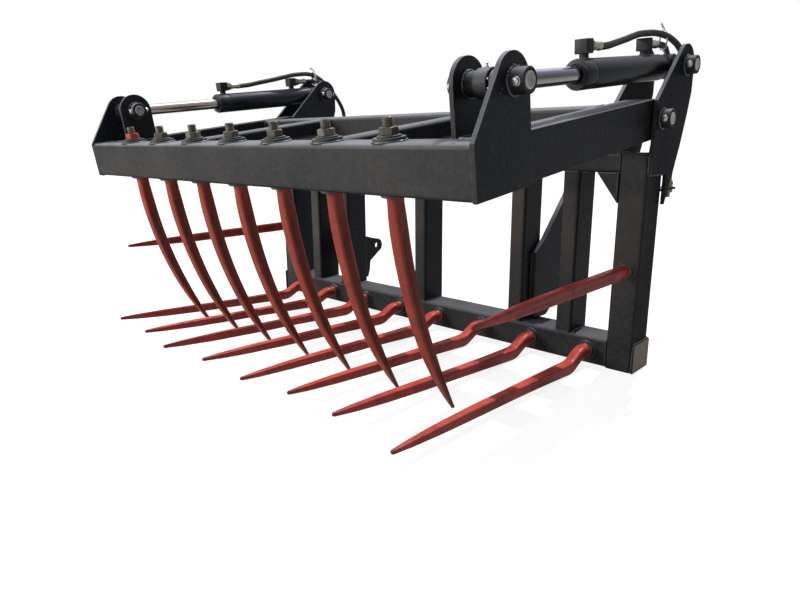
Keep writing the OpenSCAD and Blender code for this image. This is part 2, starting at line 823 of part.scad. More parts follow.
module outer_ear_outline() {
    half_h = beam_h / 2;
    corner = [-beam_front, half_h];
    chamfer = ear_t;
    difference() {
        union() {
            translate(rod_at) circle(ear_r);
            polygon([
                [-beam_front, -half_h], corner, tangent_point(corner, rod_at, ear_r), rod_at,
                rod_at + [ear_r, 0], [ear_r - rod_pin_u, chamfer - half_h],
                [ear_r - rod_pin_u - chamfer, -half_h]
            ]);
        }
        translate(rod_at) circle(pin_d / 2 + fixed_fit);
    }
}

module inner_ear_outline() {
    difference() {
        union() {
            translate(rod_at) circle(ear_r);
            translate([-rod_pin_u - ear_r, -ear_r / 2])
                square([2 * ear_r, rod_pin_w + ear_r / 2]);
        }
        translate(rod_at) circle(pin_d / 2 + fixed_fit);
    }
}

module ears(side) color(charcoal) on_side(side) on_grab() {
    translate([arm_out, 0, 0]) along_x(ear_t) outer_ear_outline();
    translate([arm_in - ear_t, 0, 0]) along_x(ear_t) inner_ear_outline();
}

// Bosses between the ears that keep the rod's eye in the middle
module eye_boss(x0, x1) {
    difference() {
        bar_x(x0, x1, rod_at, collar_d);
        bar_x(x0 - overrun, x1 + overrun, rod_at, pin_d + 2 * fixed_fit);
    }
}

module ear_collars() color(charcoal) both_sides() on_grab() {
    collars(arm_in - ear_t, arm_out + ear_t, rod_at);
    eye_boss(arm_in, cyl_x - rod_eye_l / 2 - side_gap);
    eye_boss(cyl_x + rod_eye_l / 2 + side_gap, arm_out);
}

// The rod pin is turned down where the eye goes over it
module rod_pins() color(steel) both_sides() on_grab() difference() {
    pin(arm_in - ear_t, arm_out + ear_t, rod_at);
    difference() {
        bar_x(cyl_x - rod_eye_l / 2 - side_gap, cyl_x + rod_eye_l / 2 + side_gap, rod_at,
              pin_d + 2 * overrun);
        bar_x(cyl_x - rod_eye_l, cyl_x + rod_eye_l, rod_at, rod_core_d);
    }
}

module ear_pin_bolts() color(steel) both_sides() on_grab()
    retaining_bolts(arm_in - ear_t, arm_out + ear_t, rod_at);

// Tines of the grab

grab_bush_top = beam_h / 2 + top_flange_t;
grab_bush_low = beam_h / 2 + low_flange_t;
grab_bush_l = grab_bush_top + grab_bush_low;

// Turns a shape drawn along +Y so that it runs up the beam at tine i
module at_grab_tine(i) {
    translate([upper_x(i), -beam_reach, 0]) rotate([90, 0, 0]) children();
}

module grab_tine_bushes() color(charcoal) on_grab() for (i = [1 : upper_tines])
    translate([upper_x(i), -beam_reach, 0]) difference() {
        union() {
            translate([0, 0, -grab_bush_low]) cylinder(h = grab_bush_l, d = bush_d);
            translate([0, 0, beam_h / 2]) cylinder(h = top_flange_t, d = top_flange_d);
            translate([0, 0, -grab_bush_low]) cylinder(h = low_flange_t, d = low_flange_d);
        }
        translate([0, 0, -grab_bush_low]) cylinder(
            h = grab_bush_l, d1 = tine_root_d + 2 * loose_fit,
            d2 = tine_root_d - shank_taper + 2 * loose_fit);
    }

module grab_tine_nuts() color(zinc) on_grab() for (i = [1 : upper_tines])
    at_grab_tine(i) translate([0, grab_bush_top, 0]) tine_nut();

// Upper tine: straight down through the beam, then a long bend back towards the frame
module upper_tine(i) color(tine_red) on_grab() {
    neck_z = -grab_bush_low - root_out - flare_l;
    arc = [
        for (s = upper_shares)
        let (a = upper_sweep * s[0])
        [
            -beam_reach + upper_r * (1 - cos(a)), neck_z - upper_r * sin(a), a - 90, upper_d * s[1]
        ]
    ];
    translate([upper_x(i), 0, 0]) forged(concat(
        [
            [-beam_reach, neck_z + flare_l + root_lap, -90, upper_d],
            [-beam_reach, neck_z, -90, upper_d]
        ],
        arc
    ));
    at_grab_tine(i) translate([0, -grab_bush_low, 0]) tine_shank(tine_root_d, grab_bush_l);
}

// Cylinders, drawn with the base pin at the origin and the rod along -Y

bore_d = barrel_d - 2 * barrel_wall;
gland_seam = barrel_l - gland_l;

module barrel(side) color(charcoal) on_cylinder(side) difference() {
    union() {
        bar_y(0, -gland_seam, 0, gland_seam - barrel_tail, barrel_d);
        bar_y(0, -barrel_tail - base_plug, 0, barrel_tail + base_plug, base_eye_l * 0.9);
        bar_x(-base_eye_l / 2, base_eye_l / 2, [0, 0], base_eye_d);
    }
    bar_y(0, -gland_seam - overrun, 0, gland_seam + overrun - barrel_tail - base_plug, bore_d);
    bar_x(-base_eye_l, base_eye_l, [0, 0], pin_d + 2 * pin_fit);
}

module gland(side) color(charcoal) on_cylinder(side) difference() {
    union() {
        bar_y(0, -barrel_l, 0, gland_l, barrel_d);
        bar_y(0, -gland_seam, 0, gland_in, bore_d - 2 * fixed_fit);
    }
    bar_y(0, -barrel_l - overrun, 0, gland_l + gland_in + 2 * overrun, rod_d + 2 * pin_fit);
}

module piston_rod(side) color(chrome) on_cylinder(side) {
    piston_y = gland_in - gland_seam + side_gap;
    difference() {
        union() {
            bar_y(0, -cyl_len, 0, cyl_len + piston_y + piston_t, rod_d);
            bar_x(-rod_eye_l / 2, rod_eye_l / 2, [-cyl_len, 0], rod_eye_d);
            bar_y(0, piston_y, 0, piston_t, bore_d - 2 * loose_fit);
        }
        bar_x(-rod_eye_l, rod_eye_l, [-cyl_len, 0], rod_core_d + 2 * eye_play);
    }
}

port_z = barrel_d / 2 + port_neck_h;

// Port block on its neck, with the hose's nut and ferrule behind it
module port_fitting(at) {
    difference() {
        union() {
            translate([0, -at, 0]) cylinder(h = port_z + overrun, d = port_neck_d);
            translate([-port_w / 2, -at - port_w / 2, port_z]) cube(port_w);
        }
        bar_y(0, -at - port_w, 0, 2 * port_w, barrel_d);
    }
    hose_z = port_z + port_w / 2;
    translate([0, -at + port_w / 2, hose_z]) rotate([-90, 0, 0])
        cylinder(h = hose_nut_l, d = hose_nut_af / cos(30), $fn = 6);
    bar_y(0, -at + port_w / 2 + hose_nut_l, hose_z, ferrule_l, ferrule_d);
}

module port_fittings(side) color(zinc) on_cylinder(side) {
    port_fitting(front_port);
    port_fitting(rear_port);
}

bottom_beam();
top_beam();
end_upright(-1);  // end_upright_left
end_upright(1);  // end_upright_right
frame_posts();
corner_gussets();
upright_caps();
pivot_plates(-1);  // pivot_plates_left
pivot_plates(1);  // pivot_plates_right
hitch_bracket_left();
hitch_bracket_right();
frame_tine_bushes();
lower_tine(1);  // lower_tine_1
lower_tine(2);  // lower_tine_2
lower_tine(3);  // lower_tine_3
lower_tine(4);  // lower_tine_4
lower_tine(5);  // lower_tine_5
lower_tine(6);  // lower_tine_6
lower_tine(7);  // lower_tine_7
lower_tine(8);  // lower_tine_8
side_tine(-1);  // side_tine_left
side_tine(1);  // side_tine_right
frame_tine_nuts();
frame_pin_collars();
arm_pivot_pins();
base_pins();
frame_pin_bolts();
hose_plates();
hose_couplings();
front_hose(-1);  // front_hose_left
rear_hose(-1);  // rear_hose_left
front_hose(1);  // front_hose_right
rear_hose(1);  // rear_hose_right
front_beam();
cross_tube();
arm(-1);  // arm_left
arm(1);  // arm_right
braces();
ears(-1);  // ears_left
ears(1);  // ears_right
grab_tine_bushes();
upper_tine(1);  // upper_tine_1
upper_tine(2);  // upper_tine_2
upper_tine(3);  // upper_tine_3
upper_tine(4);  // upper_tine_4
upper_tine(5);  // upper_tine_5
upper_tine(6);  // upper_tine_6
upper_tine(7);  // upper_tine_7
grab_tine_nuts();
rod_pins();
ear_collars();
ear_pin_bolts();
barrel(-1);  // barrel_left
barrel(1);  // barrel_right
gland(-1);  // gland_left
gland(1);  // gland_right
piston_rod(-1);  // piston_rod_left
piston_rod(1);  // piston_rod_right
port_fittings(-1);  // port_fittings_left
port_fittings(1);  // port_fittings_right
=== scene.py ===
# Silage grab for a loader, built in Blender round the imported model.

# %% [markdown]
# # A silage grab
#
# Eight straight tines slide under the silage, and seven curved tines on a hinged frame bite
# down on it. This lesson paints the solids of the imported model, and replaces its tines, nuts,
# pins, cylinders and hoses with finer pieces in the same places.

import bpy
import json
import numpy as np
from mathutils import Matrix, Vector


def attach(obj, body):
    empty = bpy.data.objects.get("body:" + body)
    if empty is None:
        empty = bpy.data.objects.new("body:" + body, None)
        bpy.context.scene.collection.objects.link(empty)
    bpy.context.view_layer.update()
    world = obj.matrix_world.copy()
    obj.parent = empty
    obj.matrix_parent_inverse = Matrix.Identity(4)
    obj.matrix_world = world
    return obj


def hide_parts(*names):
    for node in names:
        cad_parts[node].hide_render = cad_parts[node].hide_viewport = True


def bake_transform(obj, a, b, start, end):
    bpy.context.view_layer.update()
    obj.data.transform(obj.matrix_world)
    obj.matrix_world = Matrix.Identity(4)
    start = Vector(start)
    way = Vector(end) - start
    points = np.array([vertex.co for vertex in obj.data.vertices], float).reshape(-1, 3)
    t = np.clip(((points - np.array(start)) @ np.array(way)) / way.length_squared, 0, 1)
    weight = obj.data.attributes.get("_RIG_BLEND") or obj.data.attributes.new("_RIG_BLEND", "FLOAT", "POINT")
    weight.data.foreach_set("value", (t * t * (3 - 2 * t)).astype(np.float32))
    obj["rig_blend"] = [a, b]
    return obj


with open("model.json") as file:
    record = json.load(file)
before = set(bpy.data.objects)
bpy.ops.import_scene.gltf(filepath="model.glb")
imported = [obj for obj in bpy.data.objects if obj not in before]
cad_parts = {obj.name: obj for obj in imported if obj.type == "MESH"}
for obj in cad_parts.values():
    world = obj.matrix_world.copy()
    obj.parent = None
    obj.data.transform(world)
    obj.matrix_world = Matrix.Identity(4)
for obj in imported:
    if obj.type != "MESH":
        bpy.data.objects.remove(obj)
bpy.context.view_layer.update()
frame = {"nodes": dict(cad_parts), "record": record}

# %% Tools of the lesson
import json
import random
from math import atan2, cos, degrees, exp, pi, radians, sin, sqrt

import bmesh
import bpy
from mathutils import Matrix, Vector, noise

MM = 0.001
SIDES = {"left": -1, "right": 1}


def add_object(name, data):
    made = bpy.data.objects.new(name, data)
    bpy.context.scene.collection.objects.link(made)
    return made


print("drawn in millimetres, finished in metres")

# %% [markdown]
# ## The camera
#
# The photographer stood at the right front corner, a little above the grab. The lens and the
# place were worked out from the straight edges of the beams. The camera's axes are built from
# a turn, a tilt and a slight roll, and go straight into its matrix.

# %% Camera
camera_data = bpy.data.cameras.new("photo_camera")
camera_data.sensor_width = 36
camera_data.lens = 28.02
camera = add_object("photo_camera", camera_data)
turn, tilt, roll = radians(42.93), radians(14.56), radians(0.52)
ahead = Vector((-sin(turn) * cos(tilt), cos(turn) * cos(tilt), -sin(tilt)))
level_right = Vector((cos(turn), sin(turn), 0))
level_down = ahead.cross(level_right)
right = cos(roll) * level_right + sin(roll) * level_down
down = cos(roll) * level_down - sin(roll) * level_right
camera_turn = Matrix((right, -down, -ahead)).transposed().to_4x4()
camera.matrix_world = Matrix.Translation((1.3879, -1.6422, 0.6280)) @ camera_turn
bpy.context.scene.camera = camera
print("camera looks along", tuple(round(v, 3) for v in ahead))

# %% [markdown]
# ## Rings and paths
#
# Most parts of a grab are forged, turned or bent from bar, so nearly every piece starts from
# one helper. It extrudes a circle of points from level to level. A level says where a point
# goes from its turn round the circle, and one that sends all points to one place is an end.

# %% From rings to a solid
def ringed(levels, steps, weld=0.0005):
    """Extrudes a circle of points from level to level, and joins points closer than weld."""
    bm = bmesh.new()
    turn_layer = bm.verts.layers.float.new("turn")
    bmesh.ops.create_circle(bm, segments=steps, radius=1)
    for vert in bm.verts:
        vert[turn_layer] = atan2(vert.co.y, vert.co.x)
    edges = bm.edges[:]
    for vert in bm.verts:
        vert.co = levels[0](vert[turn_layer])
    for level in levels[1:]:
        made = bmesh.ops.extrude_edge_only(bm, edges=edges)["geom"]
        edges = [part for part in made if isinstance(part, bmesh.types.BMEdge)]
        for vert in (part for part in made if isinstance(part, bmesh.types.BMVert)):
            vert.co = level(vert[turn_layer])
    bmesh.ops.remove_doubles(bm, verts=bm.verts, dist=weld)
    bmesh.ops.recalc_face_normals(bm, faces=bm.faces)
    return bm


def path_levels(points, sizes, hint, section=lambda turn: (cos(turn), sin(turn))):
    """One level at each point of a path, square to it. hint is a direction across the path."""
    levels = []
    last = len(points) - 1
    for index, (point, size) in enumerate(zip(points, sizes)):
        along = (points[min(index + 1, last)] - points[max(index - 1, 0)]).normalized()
        across = (hint - along * hint.dot(along)).normalized()
        up = along.cross(across)

        def level(turn, point=point, size=size, across=across, up=up):
            side, rise = section(turn)
            return point + across * side * size + up * rise * size

        levels.append(level)
    return levels


def closed_ends(levels, first, last):
    """Adds a level at each end that draws all the points together."""
    return [lambda turn: first, *levels, lambda turn: last]


def tube(points, sizes, hint, steps, weld=0.0005, **section):
    """A solid along a path, closed at both ends."""
    levels = path_levels(points, sizes, hint, **section)
    return ringed(closed_ends(levels, points[0], points[-1]), steps, weld)


print("rings can follow a path")

# %% [markdown]
# ## The hoses
#
# Each cylinder has two hoses, and both dive behind the pivot plates to their couplings. A hose
# is stiff and has one smooth curve. A curve with automatic handles rounds the points of the
# model's drawing, and the rings follow it.

# %% Hose routes, right side, in millimetres
STEPS_BETWEEN = 6
FRONT_ROUTE = [
    (710, -256, 821), (710, -216, 827), (708, -176, 836), (704, -136, 845), (700, -96, 854),
    (697, -56, 864), (696, -18, 873), (698, 22, 879), (704, 62, 883), (713, 102, 881),
    (722, 140, 871), (729, 174, 853), (732, 203, 826), (733, 223, 792), (733, 233, 754),
    (732, 235, 715), (731, 228, 677), (730, 214, 641), (730, 197, 607), (730, 183, 573),
    (730, 180, 546),
]
REAR_ROUTE = [
    (710, 57, 854), (709, 88, 857), (706, 120, 857), (702, 151, 847), (699, 176, 825),
    (696, 189, 794), (695, 192, 759), (695, 187, 722), (695, 176, 686), (695, 160, 650),
    (695, 143, 616), (695, 132, 580), (695, 130, 546),
]


def smooth_route(route):
    """The points of a curve with automatic handles through the route."""
    curve = bpy.data.curves.new("route", "CURVE")
    curve.dimensions = "3D"
    spline = curve.splines.new("BEZIER")
    spline.bezier_points.add(len(route) - 1)
    for knot, point in zip(spline.bezier_points, route):
        knot.co = [value / 1000 for value in point]
        knot.handle_left_type = knot.handle_right_type = "AUTO"
    curve.resolution_u = STEPS_BETWEEN
    carrier = add_object("route", curve)
    bpy.context.view_layer.update()
    line = bpy.data.meshes.new_from_object(carrier)
    points = [vert.co.copy() for vert in line.vertices]
    bpy.data.objects.remove(carrier)
    bpy.data.curves.remove(curve)
    bpy.data.meshes.remove(line)
    return points


def route_length(points):
    return sum((b - a).length for a, b in zip(points, points[1:]))


front_points = smooth_route(FRONT_ROUTE)
rear_points = smooth_route(REAR_ROUTE)
print("hoses:", round(route_length(front_points), 4), round(route_length(rear_points), 4))

# %% [markdown]
# ## Turning a shape into a piece
#
# A finished piece has its place in its mesh, and its object stays at the origin. The helpers below scale the
# drawing to metres, smooth what is round and keep what is sharp, put the piece on the body that carries it,
# and hide the solids it stands for. A small shape that is used many times is kept in stock and copied.

# %% Finish a piece
SHARP_ANGLE = radians(32)
HERE = Matrix.Identity(4)
triangle_count = {}


def stock(bm, name="shape"):
    """Turns a drawing into a mesh that can be copied."""
    mesh = bpy.data.meshes.new(name)
    bm.to_mesh(mesh)
    bm.free()
    return mesh


def mesh_object(name, bm, finish, scale=MM):
    """A mesh object at the origin from a drawing in millimetres."""
    bmesh.ops.scale(bm, vec=(scale, scale, scale), verts=bm.verts)
    mesh = stock(bm, name)
    mesh.polygons.foreach_set("use_smooth", [True] * len(mesh.polygons))
    mesh.set_sharp_from_angle(angle=SHARP_ANGLE)
    mesh.materials.append(finish)
    mesh.calc_loop_triangles()
    triangle_count[name] = len(mesh.loop_triangles)
    return add_object(name, mesh)


def finish_piece(name, bm, finish, body, *solids):
    """Makes the piece, lets it ride on a body, and hides the solids it stands for."""
    piece = mesh_object(name, bm, finish)
    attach(piece, body)
    if solids:
        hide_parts(*solids)


def add_copy(target, shape, place):
    """Adds one copy of a stock shape to a drawing."""
    placed = shape.copy()
    placed.transform(place)
    target.from_mesh(placed)
    bpy.data.meshes.remove(placed)


def many_copies(shape, places):
    target = bmesh.new()
    for place in places:
        add_copy(target, shape, place)
    return target


def moved(drawing, place):
    bmesh.ops.transform(drawing, matrix=place, verts=drawing.verts)
    return drawing


print("sharp over", round(degrees(SHARP_ANGLE)), "degrees")

# %% [markdown]
# ## Places on the grab and the cylinders
#
# The closed grab hangs 7.5 degrees nose down, and each cylinder leans by its own angle. Shapes
# for them are drawn level at the pivot, with the front along -Y, and moved by one matrix.

# %% Local frames
GRAB_TILT = 7.5
CYLINDER_TILT = 5.973
CYLINDER_X = 710
ROD_EYE_REACH = 804.8


def at(x, y, z):
    return Matrix.Translation((x, y, z))


def turned_about(angle, axis):
    return Matrix.Rotation(radians(angle), 4, axis)


TO_X = turned_about(90, "Y")
TO_BACK = turned_about(-90, "X")
TO_FRONT = turned_about(90, "X")
arm_axis = at(0, -12.5, 670)
base_axis = at(0, 120, 805)
on_grab = arm_axis @ turned_about(GRAB_TILT, "X")
rod_axis = on_grab @ at(0, -655.5, 138)
on_cylinder = {
    side: at(sign * CYLINDER_X, 120, 805) @ turned_about(CYLINDER_TILT, "X")
    for side, sign in SIDES.items()
}
print("pins along X at", [tuple(round(v) for v in axis.translation) for axis in
                          (arm_axis, base_axis, rod_axis)])

# %% [markdown]
# ## Finishes
#
# Charcoal paint on a welded frame has thin patches and a fine orange peel. Its upper faces carry dust that
# also stands for sky light, a painted sky light, and the dust thins low down as painted shade. Front faces
# get painted light from the ground. The edges get bright lines that are partly rubbed paint and partly
# painted glints. Each finish mixes a few noises that read the object's own coordinates, so that the pattern
# stays on a piece that moves. A bevel node finds the edges.

# %% Node helpers
class Nodes:
    """Short words for the nodes of one finish."""

    def __init__(self, tree):
        self.tree = tree

    def feed(self, socket, value):
        """Links an input to another node's output, or gives it a plain value."""
        if isinstance(value, bpy.types.NodeSocket):
            self.tree.links.new(value, socket)
        else:
            socket.default_value = value

    def set(self, made, **inputs):
        for name, value in inputs.items():
            self.feed(made.inputs[name.replace("_", " ")], value)
        return made

    def add(self, kind, settings=None, **inputs):
        made = self.tree.nodes.new("ShaderNode" + kind)
        for key, value in (settings or {}).items():
            setattr(made, key, value)
        return self.set(made, **inputs)

    def coords(self, kind="Object"):
        return self.add("TexCoord").outputs[kind]

    def split(self, kind):
        """X, Y and Z of the object's coordinates or of its normal."""
        return self.add("SeparateXYZ", Vector=self.coords(kind)).outputs

    def noise(self, scale, detail=4.0, roughness=0.55, coords=None):
        return self.add("TexNoise", Vector=coords or self.coords(), Scale=scale, Detail=detail,
                        Roughness=roughness).outputs[0]

    def attribute(self, name):
        return self.add("Attribute", {"attribute_name": name}).outputs["Fac"]

    def mixed(self, share, low, high):
        """Colour low where share is 0 and high where it is 1."""
        made = self.add("Mix", {"data_type": "RGBA"})
        for index, value in ((0, share), (6, low), (7, high)):
            self.feed(made.inputs[index], value)
        return made.outputs[2]

    def ranged(self, value, low, high, to_low=0.0, to_high=1.0):
        """Maps low...high of a value to to_low...to_high, and stops there."""
        return self.add("MapRange", Value=value, From_Min=low, From_Max=high, To_Min=to_low,
                        To_Max=to_high).outputs[0]

    def math(self, operation, first, second, clamp=False):
        made = self.add("Math", {"operation": operation, "use_clamp": clamp})
        self.feed(made.inputs[0], first)
        self.feed(made.inputs[1], second)
        return made.outputs[0]

    def times(self, product, *others):
        for other in others:
            product = self.math("MULTIPLY", product, other)
        return product

    def bump(self, strength, distance, height, **normal):
        return self.add("Bump", Strength=strength, Distance=distance, Height=height,
                        **normal).outputs[0]

    def edges(self, radius=0.0016):
        """1 on edges and 0 on flat faces, and the rounded normal that found them."""
        rounded = self.add("Bevel", {"samples": 6}, Radius=radius).outputs[0]
        dot = self.add("VectorMath", {"operation": "DOT_PRODUCT"})
        self.feed(dot.inputs[0], rounded)
        self.feed(dot.inputs[1], self.add("NewGeometry").outputs["Normal"])
        return self.ranged(dot.outputs["Value"], 0.995, 0.90), rounded

    def gloss(self, shader, facing, grazing):
        """Less gloss on faces seen at a slant, which would otherwise mirror the white floor."""
        slant = self.add("LayerWeight", Blend=0.5).outputs["Facing"]
        self.set(shader, Specular_IOR_Level=self.ranged(slant, 0.25, 0.65, facing, grazing))


def new_finish(name):
    """An empty finish."""
    finish = bpy.data.materials.new(name)
    finish.use_nodes = True
    return finish, Nodes(finish.node_tree), finish.node_tree.nodes["Principled BSDF"]


def rgb(red, green, blue):
    return (red, green, blue, 1.0)


print("node helpers are ready")

# %% Paint
# Painted light that the ground throws back onto front faces.
PAINTED_GROUND_LIGHT = rgb(0.088, 0.080, 0.073)
FOOT_MUD = rgb(0.430, 0.375, 0.320)
SKY_TINT = rgb(0.72, 0.84, 1.0)


def painted(name, colour, thin_colour, dust_and_sky_colour, worn_and_glint_colour, dust_and_sky_amount, wear_and_glint, roughness, specular,
            foot_mud=0.0, grazing=0.06):
    """Paint on steel: patches, dust above that also carries painted sky light, painted light from the ground
    on front faces, edges partly rubbed and partly painted glints, orange peel.
    """
    finish, n, shader = new_finish(name)
    patches = n.noise(5.0, 6.0, 0.6)
    speckle = n.noise(90.0, 5.0, 0.7)
    facing = n.split("Normal")
    height = n.split("Object")[2]
    # Dust on upward faces, bluish because it also stands for light from the sky: dust and painted sky light.
    # It thins towards the bottom, a painted shade on the low beam.
    dust_and_sky_light = n.times(n.ranged(facing[2], 0.12, 0.8), n.ranged(patches, 0.2, 0.75, 0.45, 1.0),
                      n.ranged(height, 0.1, 0.55, 0.42, 1.0))
    # Front faces get a lighter colour: painted light from the ground. It is weaker near the bottom, a
    # painted shade on the low parts, and halved above half a metre.
    ground_light_share = n.times(n.ranged(facing[1], -0.98, -0.6, 1.0, 0.0), n.ranged(patches, 0.3, 0.7, 0.5, 0.9),
                  n.ranged(height, 0.07, 0.30, 0.28, 1.0), n.ranged(height, 0.47, 0.50, 1.0, 0.50))
    paint = n.mixed(n.ranged(patches, 0.35, 0.65), colour, thin_colour)
    paint = n.mixed(ground_light_share, paint, PAINTED_GROUND_LIGHT)
    if foot_mud:
        splash = n.ranged(height, 0.11, 0.09, 0.0, foot_mud)
        paint = n.mixed(n.times(facing[0], facing[0], splash), paint, FOOT_MUD)
    film = n.times(n.ranged(speckle, 0.42, 0.7), 0.07)
    dust_and_sky_share = n.math("ADD", dust_and_sky_light, film, clamp=True)
    paint = n.mixed(n.times(dust_and_sky_share, dust_and_sky_amount), paint, dust_and_sky_colour)
    edge, rounded = n.edges()
    # Bright lines on the edges: partly rubbed paint and partly painted glints of sun and sky.
    edge_colour_share = n.times(edge, n.ranged(speckle, 0.35, 0.6, 0.15, 1.0), wear_and_glint)
    n.gloss(shader, specular, specular * grazing)
    peel = n.bump(0.12, 0.0006, n.noise(420.0, 2.0), Normal=rounded)
    n.set(shader, Base_Color=n.mixed(edge_colour_share, paint, worn_and_glint_colour), Specular_Tint=SKY_TINT,
          Roughness=n.ranged(dust_and_sky_share, 0.0, 1.0, roughness, roughness + 0.22),
          Normal=n.bump(0.06, 0.004, patches, Normal=peel))
    return finish


BLACKS = (rgb(0.0085, 0.0100, 0.0135), rgb(0.013, 0.014, 0.0165))
# Bluish colour on upper faces: dust and painted sky light.
DUST_AND_SKY_LIGHT = rgb(0.245, 0.250, 0.275)
# Colour of the bright edges: rubbed paint and painted glints.
RUBBED_AND_GLINT = rgb(0.20, 0.215, 0.24)
charcoal = painted("charcoal_paint", *BLACKS, DUST_AND_SKY_LIGHT, RUBBED_AND_GLINT, 0.95, 0.42, 0.38, 0.09)
foot_paint = painted("muddy_foot_paint", *BLACKS, DUST_AND_SKY_LIGHT, RUBBED_AND_GLINT, 0.95, 0.42, 0.45, 0.08, foot_mud=0.85)
# The flange paint is lighter than the frame's, and its bluish dust on the flange tops is partly dust and
# partly painted sunlight.
flange_paint = painted("flange_paint_dust_and_painted_light", rgb(0.035, 0.035, 0.037), rgb(0.060, 0.058, 0.056),
                       rgb(0.26, 0.27, 0.31), rgb(0.14, 0.15, 0.16), 0.55, 0.08, 0.30, 0.22)
barrel_paint = painted("glossy_barrel_paint", *BLACKS, rgb(0.20, 0.21, 0.24), RUBBED_AND_GLINT, 0.46, 0.5,
                       0.24, 0.14, grazing=0.16)
weld_paint = painted("weld_paint", rgb(0.016, 0.017, 0.020), rgb(0.030, 0.030, 0.032),
                     rgb(0.28, 0.28, 0.31), rgb(0.30, 0.30, 0.32), 0.60, 0.10, 0.20, 0.45,
                     grazing=0.12)
print("paint: charcoal, foot, flange, barrel, weld")

# %% [markdown]
# ## Red forgings
#
# The curved tines are a darker brick red that stands for the shade they hang in, and the straight ones a
# lighter red that stands for the sun on them: painted shade and painted sunlight over hues that differ a
# little. Earth and silage dull the points, and the groove is darker, a painted shade. The finish reads where
# it is on a forging from two attributes: worn rises to 1 at the point, and hollow is 1 in the groove.

# %% Tine paint
EARTH_RED = rgb(0.105, 0.040, 0.026)
BLOTCH_RED = rgb(0.120, 0.022, 0.018)
# Painted shade in the groove.
GROOVE_SHADE_RED = rgb(0.080, 0.026, 0.018)
DULL_POINT = rgb(0.060, 0.036, 0.032)
RUBBED_RED = rgb(0.33, 0.10, 0.08)


def tine_finish(name, light_red, deep_red, mud_share):
    finish, n, shader = new_finish(name)
    patches = n.noise(9.0, 6.0, 0.62)
    streaks = n.noise(60.0, 6.0, 0.7)
    blotches = n.noise(24.0, 5.0, 0.65)
    red = n.mixed(n.ranged(patches, 0.32, 0.68), deep_red, light_red)
    red = n.mixed(n.times(n.ranged(streaks, 0.47, 0.72), mud_share), red, EARTH_RED)
    red = n.mixed(n.times(n.ranged(blotches, 0.5, 0.68), 0.45), red, BLOTCH_RED)
    # Painted shade darkens the groove.
    red = n.mixed(n.times(n.attribute("hollow"), 0.7), red, GROOVE_SHADE_RED)
    dull = n.times(n.attribute("worn"), n.ranged(streaks, 0.3, 0.6, 0.35, 1.0), 0.8)
    red = n.mixed(dull, red, DULL_POINT)
    edge, rounded = n.edges(0.0025)
    edge_colour_share = n.times(edge, n.ranged(streaks, 0.45, 0.65), 0.4)
    n.gloss(shader, 0.16, 0.02)
    peel = n.bump(0.10, 0.0006, n.noise(500.0, 2.0), Normal=rounded)
    n.set(shader, Base_Color=n.mixed(edge_colour_share, red, RUBBED_RED),
          Roughness=n.ranged(streaks, 0.3, 0.7, 0.26, 0.42),
          Normal=n.bump(0.16, 0.003, patches, Normal=peel))
    return finish


# Two copies of one red: the darker one is painted shade on the curved tines, and the lighter one is painted
# sunlight on the straight and side tines and the red nut.
shaded_brick_red = tine_finish("shaded_brick_red", rgb(0.34, 0.052, 0.030), rgb(0.235, 0.030, 0.018), 0.75)
tine_red = tine_finish("tine_red", rgb(0.50, 0.082, 0.068), rgb(0.38, 0.044, 0.038), 0.45)
print("paint: brick red for the grab, tine red for the frame")

# %% [markdown]
# ## Metals, rubber and nylon
#
# Zinc-plated nuts go brown and dull. The pin ends are dark steel, a painted shade, with a bright rim that is
# partly bare steel and partly a painted highlight. The chrome of the rods carries a painted reflection in
# bands of sky, horizon and ground. All are metals with different roughness and stain.

# %% Metals
def metal(name, colour, stain_colour, stain, roughness, spread, scratch_scale=1.0, metallic=1.0,
          edge_gain=1.5, edge_radius=0.0008):
    """Bare or plated metal with stains, fine scratches and brighter edges; a high edge gain makes the edges
    a painted highlight.
    """
    finish, n, shader = new_finish(name)
    stretched = n.add("Mapping", Vector=n.coords(), Scale=(scratch_scale,) * 3).outputs[0]
    patches = n.noise(45.0, 6.0, 0.65)
    edge, rounded = n.edges(edge_radius)
    stained = n.mixed(n.times(n.ranged(patches, 0.4, 0.7), stain), colour, stain_colour)
    bright = tuple(min(1.0, value * edge_gain) for value in colour[:3]) + (1.0,)
    n.set(shader, Base_Color=n.mixed(n.times(edge, 0.6), stained, bright), Metallic=metallic,
          Roughness=n.ranged(patches, 0.3, 0.7, roughness, roughness + spread),
          Normal=n.bump(0.03, 0.0004, n.noise(300.0, 3.0, coords=stretched), Normal=rounded))
    return finish


zinc = metal("yellow_zinc_plate", rgb(0.20, 0.165, 0.105), rgb(0.065, 0.050, 0.036),
             0.85, 0.36, 0.25, metallic=0.6)
old_zinc = metal("weathered_zinc_plate", rgb(0.085, 0.075, 0.060),
                 rgb(0.032, 0.027, 0.023), 0.85, 0.34, 0.25, metallic=0.6, edge_gain=2.4)
dull_zinc = metal("dull_zinc_plate", rgb(0.25, 0.25, 0.21), rgb(0.09, 0.085, 0.06),
                  0.6, 0.34, 0.22, metallic=0.8)
steel = metal("bright_steel", rgb(0.34, 0.35, 0.36), rgb(0.15, 0.145, 0.14), 0.6,
              0.24, 0.22, edge_gain=2.2)
# The pin steel is dark, a painted shade on the pin ends. Its strong edge gain makes a bright rim that is
# partly bare steel and partly a painted highlight.
pin_steel = metal("pin_steel_painted_shade_and_rim_highlight", rgb(0.15, 0.145, 0.14), rgb(0.085, 0.08, 0.072),
                  0.6, 0.26, 0.2, edge_gain=5.5, edge_radius=0.0026)
print("metals: zinc, old zinc, dull zinc, steel, pin steel")


